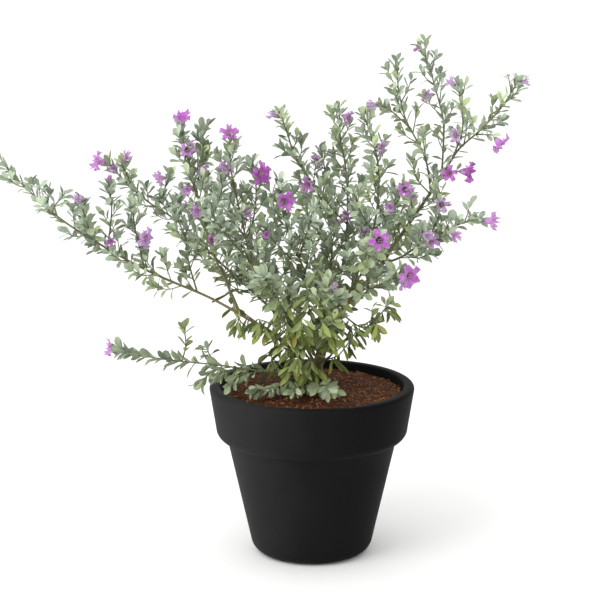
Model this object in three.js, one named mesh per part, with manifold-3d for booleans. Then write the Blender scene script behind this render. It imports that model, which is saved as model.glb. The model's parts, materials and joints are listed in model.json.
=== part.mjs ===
// A Texas sage, Leucophyllum frutescens, growing in a round flower pot with a deep rim band.
// Millimetres, +Z up. The origin is the centre of the pot's underside, on the surface it stands on.
// +X is to the right of someone who looks along +Y, so -Y is the front.
// The shrub is a short woody trunk, stems that grow from it, and leafy shoots that grow from those.
// Each stem or shoot is one solid with its own leaves. It ends a seam's width from what carries it.

import * as THREE from "three";
import { mergeVertices } from "three/addons/utils/BufferGeometryUtils.js";
import Module from "manifold-3d";

const wasm = await Module();
wasm.setup();

// ---- Driving dimensions ----

const SEAM = 0.4; // gap between two solids that touch
const LEAST_GAP = 0.3; // no leaf comes nearer than this to another solid
const LEAST_JOIN = 0.01; // cubic millimetres that a leaf shares with its own stem

const POT_HEIGHT = 173.7;
const POT_SIDES = 48;
const RIM_RADIUS = 103.4; // outside of the rim band, at its top
const BAND_FOOT_RADIUS = 97; // outside of the rim band, where it rounds in
const BAND_HEIGHT = 55.2;
const BAND_ROUND = 11;
const BODY_TOP_RADIUS = 85.8; // outside of the body, right under the band
const BODY_TAPER = 0.223; // fall in radius per millimetre down
const BASE_ROUND = 14;
const POT_WALL = 5.5;
const POT_FLOOR = 6;
const LIP_OUTER_ROUND = 4;
const LIP_INNER_ROUND = 2.5;

const DRAIN_HOLES = 6;
const DRAIN_RADIUS = 5;
const DRAIN_RING_RADIUS = 31;
const CHANNEL_WIDTH = 5;
const CHANNEL_DEPTH = 1.6;

const SOIL_DROP = 6; // from the rim's top down to the soil at the wall
const SOIL_CROWN = 3.5; // how much higher the soil is in the middle
const SOIL_SIDES = 36;

const TUBE_SIDES = 5;
const TUBE_STEP = 24; // longest stretch of a tube between two rings

const LEAF_LENGTH = 15;
const LEAF_WIDTH = 7;
const LEAF_THICKNESS = 1.2;
const LEAF_WIDEST = 0.6; // of the leaf's length
const LEAF_SET_IN = 0.6; // how far a leaf's foot is past the middle of its shoot
const LEAF_TILT = 0.9; // radians between the shoot and its leaves
const LEAF_TURN = 2.4; // radians from one leaf to the next, about 137 degrees
const LEAF_TRIES = 6; // places round the shoot that are tried before a leaf is left out

const STALK_RADIUS = 0.9;
const FLOWER_LENGTH = 21;
const FLOWER_RADIUS = 12;
const FLOWER_LOBES = 5;

// ---- The plant's plan ----

// Stems and shoots: name, what carries it, how far along that it starts, the points that it goes
// through after its start, its radius at the start and at the tip, its leaves, how far along the
// first of them is, and how many times LEAF_LENGTH they are where that isn't one.
// Heights are above the pot's top, so that the plant stands in a pot of any height.
const TRUNK_PATH = [[2, 0, -58], [1, 0, -20], [4, 1, 6], [9, 3, 30], [16, 5, 56]];
const TRUNK_RADIUS = [7, 4.8];

const TWIGS = [
  ["left_sweep_stem", "trunk", 0.57, [[-14, -4, 30], [-40, -10, 56], [-62, -14, 70],
    [-100, -22, 94], [-160, -34, 124], [-205, -42, 152], [-246, -50, 182], [-276, -54, 212],
    [-296, -56, 235]], 3, 1, 10, 0.6],
  ["left_sweep_shoot_1", "left_sweep_stem", 0.4, [[-122, -16, 130], [-126, -10, 155],
    [-136, -8, 178]], 1.5, 0.8, 7, 0.15],
  ["left_sweep_shoot_2", "left_sweep_stem", 0.55, [[-168, -40, 148], [-172, -44, 170],
    [-174, -48, 192]], 1.5, 0.8, 7, 0.15],
  ["left_sweep_shoot_3", "left_sweep_stem", 0.66, [[-196, -44, 170], [-194, -46, 192],
    [-196, -48, 212]], 1.4, 0.8, 7, 0.15],
  ["left_sweep_shoot_4", "left_sweep_stem", 0.7, [[-216, -62, 176], [-222, -66, 200]],
    1.3, 0.8, 5, 0.3],

  ["left_middle_stem", "trunk", 0.78, [[-18, 14, 52], [-55, 24, 86], [-95, 30, 122],
    [-130, 34, 158], [-166, 38, 182], [-190, 40, 204], [-204, 42, 220]], 2.6, 1, 10, 0.45],
  ["left_middle_shoot", "left_middle_stem", 0.7, [[-148, 32, 190], [-143, 30, 210]],
    1.3, 0.8, 5, 0.2],

  ["left_high_stem", "left_sweep_stem", 0.27, [[-86, -24, 114], [-98, -26, 142],
    [-106, -24, 175], [-116, -18, 212], [-124, -12, 242], [-128, -8, 264]], 2.2, 1, 11, 0.3],
  ["left_high_shoot", "left_high_stem", 0.68, [[-108, 0, 238], [-110, 8, 262]], 1.4, 0.8, 6, 0.2],

  ["centre_left_stem", "trunk", 0.85, [[-22, -24, 75], [-44, -34, 102], [-58, -40, 130],
    [-66, -40, 165], [-74, -34, 200], [-80, -26, 232], [-80, -20, 254]], 2.4, 1, 11, 0.25],
  ["centre_left_shoot_1", "centre_left_stem", 0.6, [[-57, -26, 178], [-55, -18, 206],
    [-58, -14, 230]], 1.2, 0.8, 6, 0.2],
  ["centre_left_shoot_2", "centre_left_stem", 0.5, [[-90, -58, 175], [-100, -66, 196]],
    1.4, 0.8, 6, 0.2],

  ["centre_stem", "trunk", 0.9, [[12, -10, 68], [5, -16, 92], [-8, -14, 122], [-22, -12, 155],
    [-30, -16, 186], [-32, -20, 210]], 2.2, 1, 8, 0.3],
  ["centre_shoot", "centre_stem", 0.55, [[-4, -26, 166], [2, -34, 188]], 1.4, 0.8, 6, 0.2],

  ["centre_back_stem", "trunk", 0.93, [[10, 24, 74], [20, 46, 115], [16, 62, 165],
    [0, 70, 195], [-18, 74, 225], [-26, 76, 250], [-32, 78, 266]], 2.4, 1, 11, 0.3],
  ["centre_back_shoot", "centre_back_stem", 0.6, [[14, 82, 202], [10, 88, 224]], 1.4, 0.8, 6, 0.2],

  ["right_tall_stem", "trunk", 1, [[28, 8, 72], [44, 10, 92], [66, 12, 116], [82, 10, 142],
    [96, 6, 164], [114, 2, 192], [132, -2, 222]], 4.2, 1.8, 4, 0.7],
  ["right_tall_shoot_1", "right_tall_stem", 0.99, [[144, -6, 242], [162, -12, 260],
    [182, -18, 283], [198, -24, 310]], 1.7, 0.8, 8, 0.15],
  ["right_tall_shoot_2", "right_tall_stem", 0.86, [[112, 8, 230], [92, 14, 270], [86, 18, 294],
    [82, 20, 326]], 1.6, 0.8, 10, 0.15],
  ["right_tall_shoot_3", "right_tall_stem", 0.96, [[130, 20, 266], [125, 26, 288],
    [120, 30, 306], [114, 34, 325], [107, 36, 340]], 1.5, 0.8, 9, 0.15],
  ["right_tall_shoot_4", "right_tall_shoot_1", 0.12, [[146, -14, 260], [145, -20, 284],
    [140, -22, 308]], 1.3, 0.8, 7, 0.15],
  ["right_tall_shoot_5", "right_tall_shoot_1", 0.42, [[173, -34, 260]], 1.2, 0.8, 2, 0.3],
  ["right_tall_shoot_6", "right_tall_stem", 0.95, [[140, -24, 223]], 1.2, 0.8, 2, 0.3],

  ["centre_right_stem", "right_tall_stem", 0.06, [[27, 24, 96], [33, 32, 130], [36, 34, 175],
    [34, 36, 215], [28, 34, 250], [27, 32, 280]], 2.2, 1, 10, 0.3],
  ["centre_right_shoot", "centre_right_stem", 0.45, [[18, 18, 180], [8, 12, 200]],
    1.4, 0.8, 6, 0.2],

  ["right_middle_stem", "right_tall_stem", 0.12, [[46, -12, 120], [58, -18, 155],
    [64, -20, 190], [64, -18, 230], [56, -12, 260], [50, -8, 276]], 2.2, 1, 10, 0.3],
  ["right_middle_shoot_1", "right_middle_stem", 0.45, [[48, -34, 182], [40, -42, 204]],
    1.4, 0.8, 6, 0.2],
  ["right_middle_shoot_2", "right_middle_stem", 0.5, [[80, -34, 190], [88, -40, 210]],
    1.4, 0.8, 6, 0.2],

  ["right_low_stem", "right_tall_stem", 0.42, [[88, -12, 134], [107, -26, 150],
    [126, -38, 163], [145, -46, 175], [160, -52, 180]], 2, 1, 8, 0.3],
  ["right_low_shoot", "right_low_stem", 0.55, [[124, -26, 182], [120, -24, 204]],
    1.4, 0.8, 6, 0.2],
  ["right_front_stem", "right_tall_stem", 0.3, [[58, -22, 104], [76, -46, 118],
    [88, -64, 127]], 1.8, 0.9, 7, 0.3],
  ["right_spray", "right_tall_stem", 0.1, [[52, -14, 62], [66, -22, 76], [76, -28, 90]],
    1.4, 0.8, 7, 0.3, 1.2],

  ["front_shoot_1", "trunk", 0.76, [[12, -26, 56], [18, -56, 92], [14, -82, 118]],
    1.8, 0.9, 8, 0.3, 1.2],
  ["front_shoot_2", "centre_left_stem", 0.22, [[-40, -62, 112], [-46, -84, 130]],
    1.5, 0.9, 7, 0.3],
  ["front_shoot_3", "right_middle_stem", 0.25, [[54, -46, 138], [60, -68, 156], [62, -84, 166]],
    1.5, 0.9, 7, 0.25],

  ["base_shoot_1", "trunk", 0.6, [[4, -18, 21], [-8, -34, 42], [-24, -42, 68],
    [-30, -46, 92]], 2, 1, 9, 0.2, 1.5],
  ["base_shoot_2", "trunk", 0.68, [[20, -18, 36], [18, -40, 58], [8, -56, 80]],
    1.8, 1, 8, 0.2, 1.5],
  ["low_runner", "trunk", 0.5, [[-22, -10, 11], [-60, -14, 18], [-98, -12, 23],
    [-132, -14, 27], [-162, -16, 32], [-188, -18, 39]], 1.8, 0.9, 12, 0.3, 1.2],
  ["front_sprig", "trunk", 0.49, [[4, -24, 8], [8, -48, 11], [14, -72, 14]],
    1.5, 0.9, 9, 0.3, 1.4],

  ["back_left_stem", "trunk", 0.64, [[-12, 26, 44], [-40, 64, 100], [-70, 92, 135],
    [-96, 114, 168], [-110, 126, 192]], 2.4, 1, 10, 0.3],
  ["back_left_shoot", "back_left_stem", 0.5, [[-40, 106, 142], [-36, 124, 168]],
    1.4, 0.8, 6, 0.2],
  ["back_right_stem", "trunk", 0.84, [[34, 34, 70], [52, 68, 102], [74, 98, 128],
    [92, 122, 152], [104, 134, 172]], 2.4, 1, 10, 0.3],
  ["back_stem", "trunk", 0.74, [[12, 38, 62], [4, 84, 110], [-2, 118, 140], [-6, 140, 166]],
    2.2, 1, 9, 0.3],
];

// Side shoots that are one piece with the stem or shoot that carries them, in the same columns.
const FORKS = [
  ["left_sweep_fork", "left_sweep_stem", 0.83, [[-246, -60, 196], [-238, -62, 206]],
    1.2, 0.8, 4, 0.3],
  ["left_middle_fork", "left_middle_stem", 0.88, [[-190, 28, 222]], 1.2, 0.8, 3, 0.3],
  ["left_high_fork", "left_high_stem", 0.5, [[-92, -36, 192], [-86, -40, 214]], 1.2, 0.8, 5, 0.2],
  ["centre_fork", "centre_stem", 0.45, [[-38, -32, 155], [-48, -42, 174]], 1.2, 0.8, 5, 0.2],
  ["right_tall_fork_1", "right_tall_stem", 0.85, [[102, -10, 214], [98, -14, 232]],
    1.2, 0.8, 4, 0.2],
  ["right_tall_fork_2", "right_tall_shoot_2", 0.5, [[78, 6, 278], [68, 2, 284]],
    1.1, 0.8, 3, 0.3],
  ["right_low_fork", "right_low_stem", 0.35, [[104, -46, 156], [106, -58, 170]],
    1.2, 0.8, 4, 0.2],
  ["low_runner_fork", "low_runner", 0.7, [[-126, -14, 44], [-127, -14, 59]], 1.1, 0.8, 5, 0.3],
  ["back_left_fork", "back_left_stem", 0.62, [[-104, 92, 146], [-122, 92, 164]],
    1.2, 0.8, 5, 0.2],
  ["back_right_fork_1", "back_right_stem", 0.5, [[54, 108, 130], [58, 118, 150]],
    1.2, 0.8, 5, 0.2],
  ["back_right_fork_2", "back_right_stem", 0.6, [[104, 98, 130], [122, 98, 144]],
    1.2, 0.8, 5, 0.2],
];

// The largest flowers: what carries it, how far along, and which way it faces.
const FLOWERS = [
  ["left_middle_stem", 1, [-0.75, -0.5, 0.25]],
  ["left_sweep_shoot_2", 0.55, [0.7, -0.6, -0.1]],
  ["left_high_stem", 1, [0.1, -0.6, 0.8]],
  ["centre_left_stem", 1, [0, -0.8, 0.6]],
  ["centre_left_shoot_1", 0.9, [0.5, -0.8, -0.1]],
  ["centre_stem", 0.9, [0.3, -0.9, 0.1]],
  ["front_shoot_3", 1, [0.1, -0.95, 0.1]],
  ["right_front_stem", 1, [0.4, -0.85, 0.1]],
  ["right_low_stem", 1, [0.95, -0.3, -0.1]],
  ["right_tall_shoot_6", 1, [0.8, -0.6, 0]],
  ["right_tall_shoot_5", 1, [0.6, -0.4, -0.6]],
  ["low_runner", 1, [-0.95, -0.1, 0.2]],
];

// ---- Materials ----

const material = (color, roughness) =>
  new THREE.MeshStandardMaterial({ color, roughness, metalness: 0 });
const potPlastic = material(0x242424, 0.55);
const pottingMix = material(0x5a3622, 0.95);
const bark = material(0x6b5138, 0.85);
const foliage = material(0x9aac8c, 0.8);
const petal = material(0xb66cc4, 0.6);

// ---- Solids ----

// A closed three.js geometry as a solid that can be joined and cut.
function solidOf(geometry) {
  const bare = geometry.clone().deleteAttribute("normal").deleteAttribute("uv");
  const merged = mergeVertices(bare, 1e-4);
  return new wasm.Manifold(
    new wasm.Mesh({
      numProp: 3,
      vertProperties: merged.attributes.position.array,
      triVerts: new Uint32Array(merged.index.array),
    }),
  );
}

function geometryOf(solid) {
  const mesh = solid.getMesh();
  const geometry = new THREE.BufferGeometry();
  const places = new THREE.BufferAttribute(new Float32Array(mesh.vertProperties), 3);
  geometry.setAttribute("position", places);
  geometry.setIndex(new THREE.BufferAttribute(new Uint32Array(mesh.triVerts), 1));
  geometry.computeVertexNormals();
  return geometry;
}

// A solid of revolution about Z from a profile of [radius, height] points, bottom to top.
function turned(profile, sides) {
  const points = profile.map(([radius, height]) => new THREE.Vector2(radius, height));
  return solidOf(new THREE.LatheGeometry(points, sides).rotateX(Math.PI / 2));
}

// Points of an arc in a profile, from one angle to another, in degrees.
function arc(radius, centreR, centreZ, from, to, steps) {
  return Array.from({ length: steps + 1 }, (_, i) => {
    const angle = THREE.MathUtils.degToRad(from + ((to - from) * i) / steps);
    return [centreR + radius * Math.cos(angle), centreZ + radius * Math.sin(angle)];
  });
}

// ---- Pot ----

const BAND_BOTTOM = POT_HEIGHT - BAND_HEIGHT;
const TAPER_DEG = THREE.MathUtils.radToDeg(Math.atan(BODY_TAPER));
const bodyRadius = (z) => BODY_TOP_RADIUS - BODY_TAPER * (BAND_BOTTOM - z);
const innerRadius = (z) => bodyRadius(z) - POT_WALL;

function potSolid() {
  const slant = THREE.MathUtils.degToRad(TAPER_DEG);
  const baseArcZ = BASE_ROUND * (1 - Math.sin(slant));
  const baseArcR = bodyRadius(baseArcZ) - BASE_ROUND * Math.cos(slant);
  const lipInner = innerRadius(POT_HEIGHT) + LIP_INNER_ROUND;
  const profile = [
    [0, 0],
    ...arc(BASE_ROUND, baseArcR, BASE_ROUND, -90, -TAPER_DEG, 4),
    [BODY_TOP_RADIUS, BAND_BOTTOM],
    ...arc(BAND_ROUND, BAND_FOOT_RADIUS - BAND_ROUND, BAND_BOTTOM + BAND_ROUND, -85, 0, 4),
    ...arc(LIP_OUTER_ROUND, RIM_RADIUS - LIP_OUTER_ROUND, POT_HEIGHT - LIP_OUTER_ROUND, 0, 90, 3),
    ...arc(LIP_INNER_ROUND, lipInner, POT_HEIGHT - LIP_INNER_ROUND, 90, 180, 2),
    [innerRadius(POT_FLOOR), POT_FLOOR],
    [0, POT_FLOOR],
  ];
  const holes = [];
  for (let i = 0; i < DRAIN_HOLES; i++) {
    const angle = (i / DRAIN_HOLES) * 2 * Math.PI;
    const hole = new THREE.CylinderGeometry(DRAIN_RADIUS, DRAIN_RADIUS, 4 * POT_FLOOR, 12);
    const channelLength = BODY_TOP_RADIUS;
    const channel = new THREE.BoxGeometry(channelLength, CHANNEL_WIDTH, 2 * CHANNEL_DEPTH);
    hole.rotateX(Math.PI / 2).translate(DRAIN_RING_RADIUS, 0, 0).rotateZ(angle);
    channel.translate(DRAIN_RING_RADIUS + channelLength / 2, 0, 0).rotateZ(angle);
    holes.push(solidOf(hole), solidOf(channel));
  }
  return turned(profile, POT_SIDES).subtract(wasm.Manifold.union(holes));
}

// ---- Soil ----

const SOIL_TOP = POT_HEIGHT - SOIL_DROP;

// Coir potting mix that fills the pot, a little higher round the trunk.
function soilSolid(buried) {
  const top = [0.9, 0.75, 0.5, 0.25].map((share) => [
    share * innerRadius(SOIL_TOP),
    SOIL_TOP + SOIL_CROWN * Math.cos((share * Math.PI) / 2),
  ]);
  const bottom = POT_FLOOR + SEAM;
  const profile = [
    [0, bottom],
    [innerRadius(bottom) - SEAM, bottom],
    [innerRadius(SOIL_TOP) - SEAM, SOIL_TOP],
    ...top,
    [0, SOIL_TOP + SOIL_CROWN],
  ];
  return turned(profile, SOIL_SIDES).subtract(buried);
}

// ---- Stems and shoots ----

// A tapered tube along a curve: a cylinder whose rings are set across the curve one by one.
function tube(curve, startRadius, tipRadius) {
  const steps = Math.max(2, Math.ceil(curve.getLength() / TUBE_STEP));
  const frames = curve.computeFrenetFrames(steps);
  const geometry = new THREE.CylinderGeometry(tipRadius, startRadius, 1, TUBE_SIDES, steps);
  const places = geometry.attributes.position;
  const point = new THREE.Vector3();
  for (let i = 0; i < places.count; i++) {
    const along = places.getY(i) + 0.5;
    const ring = Math.round(along * steps);
    curve
      .getPointAt(along, point)
      .addScaledVector(frames.normals[ring], places.getX(i))
      .addScaledVector(frames.binormals[ring], -places.getZ(i));
    places.setXYZ(i, point.x, point.y, point.z);
  }
  const solid = solidOf(geometry);
  return solid.volume() > 0 ? solid : solid.mirror([1, 0, 0]);
}

// The same curve made a little longer at both ends.
function lengthened(curve, extra) {
  const points = curve.points.map((p) => p.clone());
  points[0].addScaledVector(curve.getTangentAt(0), -extra);
  points[points.length - 1].addScaledVector(curve.getTangentAt(1), extra);
  return new THREE.CatmullRomCurve3(points, false, "centripetal");
}

const twigs = new Map();

// Adds a stem or shoot. node is the name of the mesh that it becomes part of.
function addTwig(name, node, points, startRadius, tipRadius, ...foliated) {
  const [leaves = 0, leavesFrom = 0, leafScale = 1] = foliated;
  const curve = new THREE.CatmullRomCurve3(points, false, "centripetal");
  const clearance = tube(lengthened(curve, SEAM), startRadius + SEAM, tipRadius + SEAM);
  const solid = tube(curve, startRadius, tipRadius);
  twigs.set(name, { name, node, curve, solid, clearance, leaves, leavesFrom, leafScale });
}

const PLANT_HEIGHT_SCALE = 0.989; // of the heights in the plan
const inPot = (points) =>
  points.map(([x, y, above]) => new THREE.Vector3(x, y, POT_HEIGHT + above * PLANT_HEIGHT_SCALE));

addTwig("trunk", "trunk", inPot(TRUNK_PATH), ...TRUNK_RADIUS);
for (const rows of [TWIGS, FORKS]) {
  for (const [name, parent, at, via, ...rest] of rows) {
    const carrier = twigs.get(parent);
    const start = carrier.curve.getPointAt(Math.min(at, 1));
    const node = rows === FORKS ? carrier.node : name;
    addTwig(name, node, [start, ...inPot(via)], ...rest);
    const twig = twigs.get(name);
    if (node === name) twig.solid = twig.solid.subtract(carrier.clearance);
  }
}

// ---- Flowers ----

// A bell that opens into five lobes, on a short stalk, along +Z from its stalk's foot.
function flowerSolid() {
  const profile = [
    [0, 0],
    [STALK_RADIUS, 0],
    [STALK_RADIUS, 0.2 * FLOWER_LENGTH],
    [0.3 * FLOWER_RADIUS, 0.45 * FLOWER_LENGTH],
    [FLOWER_RADIUS, FLOWER_LENGTH],
    [0, 0.7 * FLOWER_LENGTH],
  ].map(([radius, height]) => new THREE.Vector2(radius, height));
  const geometry = new THREE.LatheGeometry(profile, 2 * FLOWER_LOBES);
  const places = geometry.attributes.position;
  for (let i = 0; i < places.count; i++) {
    const radius = Math.hypot(places.getX(i), places.getZ(i));
    const angle = Math.atan2(places.getX(i), places.getZ(i));
    const notch = 1 - 0.16 * (1 - Math.cos(FLOWER_LOBES * angle));
    if (radius > 0.9 * FLOWER_RADIUS) {
      places.setX(i, places.getX(i) * notch);
      places.setZ(i, places.getZ(i) * notch);
    }
  }
  return solidOf(geometry.rotateX(Math.PI / 2));
}

const UP = new THREE.Vector3(0, 0, 1);
const flowers = FLOWERS.map(([parent, at, facing], i) => {
  const carrier = twigs.get(parent);
  const axis = new THREE.Vector3(...facing).normalize();
  const turn = new THREE.Quaternion().setFromUnitVectors(UP, axis);
  const place = new THREE.Matrix4().compose(
    carrier.curve.getPointAt(at),
    turn,
    new THREE.Vector3(1, 1, 1),
  );
  const solid = flowerSolid().transform(place.elements).subtract(carrier.clearance);
  return { name: `flower_${i + 1}`, node: `flower_${i + 1}`, solid };
});

// ---- Leaves ----

// A leaf that is widest past its middle, along +X from its foot: an octahedron pulled to shape.
function leafSolid(length) {
  const geometry = new THREE.OctahedronGeometry(1, 0);
  const places = geometry.attributes.position;
  const size = length / LEAF_LENGTH;
  for (let i = 0; i < places.count; i++) {
    const end = Math.round(places.getX(i));
    const along = end ? (end + 1) / 2 : LEAF_WIDEST;
    const y = (places.getY(i) * size * LEAF_WIDTH) / 2;
    const z = (places.getZ(i) * LEAF_THICKNESS) / 2;
    places.setXYZ(i, along * (length + LEAF_SET_IN) - LEAF_SET_IN, y, z);
  }
  return solidOf(geometry);
}

// Sets a leaf on a twig: how far along, and the angle round it.
function leafOn(twig, along, angle, length) {
  const { curve } = twig;
  const tangent = curve.getTangentAt(along);
  const side = new THREE.Vector3().crossVectors(tangent, UP);
  if (side.lengthSq() < 1e-4) side.set(1, 0, 0);
  side.normalize();
  const out = side.clone().applyAxisAngle(tangent, angle);
  const across = new THREE.Vector3().crossVectors(tangent, out);
  const axis = tangent
    .multiplyScalar(Math.cos(LEAF_TILT))
    .addScaledVector(out, Math.sin(LEAF_TILT));
  const face = new THREE.Vector3().crossVectors(axis, across);
  const place = new THREE.Matrix4()
    .makeBasis(axis, across, face)
    .setPosition(curve.getPointAt(along));
  return leafSolid(length).transform(place.elements);
}

const bounded = (solid) => ({ solid, box: solid.boundingBox() });

function nearlyTouch(a, b) {
  for (let i = 0; i < 3; i++) {
    if (a.box.min[i] > b.box.max[i] + LEAST_GAP) return false;
    if (b.box.min[i] > a.box.max[i] + LEAST_GAP) return false;
  }
  return a.solid.minGap(b.solid, LEAST_GAP) < LEAST_GAP;
}

// Grows each twig's leaves in turn. A leaf that would touch another node moves round its twig,
// and is left out if it touches something at every place.
function growLeaves(others) {
  const standing = others.map(({ node, solid }) => ({ node, ...bounded(solid) }));
  for (const twig of twigs.values()) {
    for (let i = 0; i < twig.leaves; i++) {
      const share = twig.leaves > 1 ? i / (twig.leaves - 1) : 1;
      const along = twig.leavesFrom + (0.97 - twig.leavesFrom) * share;
      const length = LEAF_LENGTH * twig.leafScale * (1.1 - 0.25 * share);
      for (let turn = 0; turn < LEAF_TRIES; turn++) {
        const angle = LEAF_TURN * i + (2 * Math.PI * turn) / LEAF_TRIES;
        const leaf = bounded(leafOn(twig, along, angle, length));
        if (leaf.solid.intersect(twig.solid).volume() < LEAST_JOIN) continue;
        if (standing.some((s) => s.node !== twig.node && nearlyTouch(leaf, s))) continue;
        standing.push({ node: twig.node, ...leaf });
        twig.grown = [...(twig.grown ?? []), leaf.solid];
        break;
      }
    }
  }
}

// ---- Assembly ----

const soil = soilSolid(twigs.get("trunk").clearance);
const pot = potSolid();
growLeaves([
  { node: "pot", solid: pot },
  { node: "soil", solid: soil },
  ...twigs.values(),
  ...flowers,
]);

const group = new THREE.Group();
group.name = "potted_texas_sage";

function addMesh(name, solid, finish) {
  const mesh = new THREE.Mesh(geometryOf(solid), finish);
  mesh.name = name;
  group.add(mesh);
}

addMesh("pot", pot, potPlastic);
addMesh("soil", soil, pottingMix);
for (const twig of twigs.values()) {
  if (twig.node !== twig.name) continue;
  const members = [...twigs.values()].filter((t) => t.node === twig.name);
  const solids = members.flatMap((t) => [t.solid, ...(t.grown ?? [])]);
  addMesh(twig.name, wasm.Manifold.union(solids), twig.leaves ? foliage : bark);
}
for (const flower of flowers) addMesh(flower.name, flower.solid, petal);

export default group;
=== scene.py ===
"""A Texas sage shrub in a black flower pot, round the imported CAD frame.

The file is laid out as a Blender add-on and run as a script. Units are metres, +Z up, with -Y
to the front. The plan of the plant repeats the CAD model's, in millimetres.
"""

import json
import math
import random
from functools import partial

import bmesh
import bpy
from mathutils import Matrix, Vector, kdtree, noise

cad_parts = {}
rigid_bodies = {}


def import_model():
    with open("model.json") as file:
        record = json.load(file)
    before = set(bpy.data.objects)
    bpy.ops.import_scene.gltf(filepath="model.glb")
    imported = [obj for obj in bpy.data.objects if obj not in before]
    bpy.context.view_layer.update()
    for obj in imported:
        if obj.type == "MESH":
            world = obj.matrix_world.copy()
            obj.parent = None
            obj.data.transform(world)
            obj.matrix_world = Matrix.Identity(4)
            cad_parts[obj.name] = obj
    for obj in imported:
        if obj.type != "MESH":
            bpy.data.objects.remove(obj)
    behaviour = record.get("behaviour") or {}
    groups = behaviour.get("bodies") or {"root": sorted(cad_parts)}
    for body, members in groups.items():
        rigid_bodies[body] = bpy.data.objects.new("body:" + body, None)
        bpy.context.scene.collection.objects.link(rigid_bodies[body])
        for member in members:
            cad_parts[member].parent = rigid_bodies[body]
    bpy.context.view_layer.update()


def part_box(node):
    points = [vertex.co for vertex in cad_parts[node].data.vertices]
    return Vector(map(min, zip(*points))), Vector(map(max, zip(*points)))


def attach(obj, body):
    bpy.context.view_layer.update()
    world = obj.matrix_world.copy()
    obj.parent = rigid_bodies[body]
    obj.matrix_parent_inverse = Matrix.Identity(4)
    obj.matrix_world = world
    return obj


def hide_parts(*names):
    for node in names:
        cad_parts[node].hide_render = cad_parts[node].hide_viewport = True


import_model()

bl_info = {
    "name": "Potted Texas sage",
    "version": (1, 0, 0),
    "blender": (4, 5, 0),
    "location": "View3D > Sidebar > Sage",
    "description": "Builds a flowering Texas sage shrub in a flower pot",
    "category": "Add Mesh",
}

MM = 0.001
BODY = "root"
POT_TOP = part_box("pot")[1][2]
RIM_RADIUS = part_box("pot")[1][0]
SOIL_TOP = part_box("soil")[1][2]
SOIL_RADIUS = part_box("soil")[1][0]

# ---------------------------------------------------------------------------
# The plan of the plant, as the CAD model has it
# ---------------------------------------------------------------------------

TRUNK = ([(2, 0, -58), (1, 0, -20), (4, 1, 6), (9, 3, 30), (16, 5, 56)], 7, 4.8)

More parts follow.
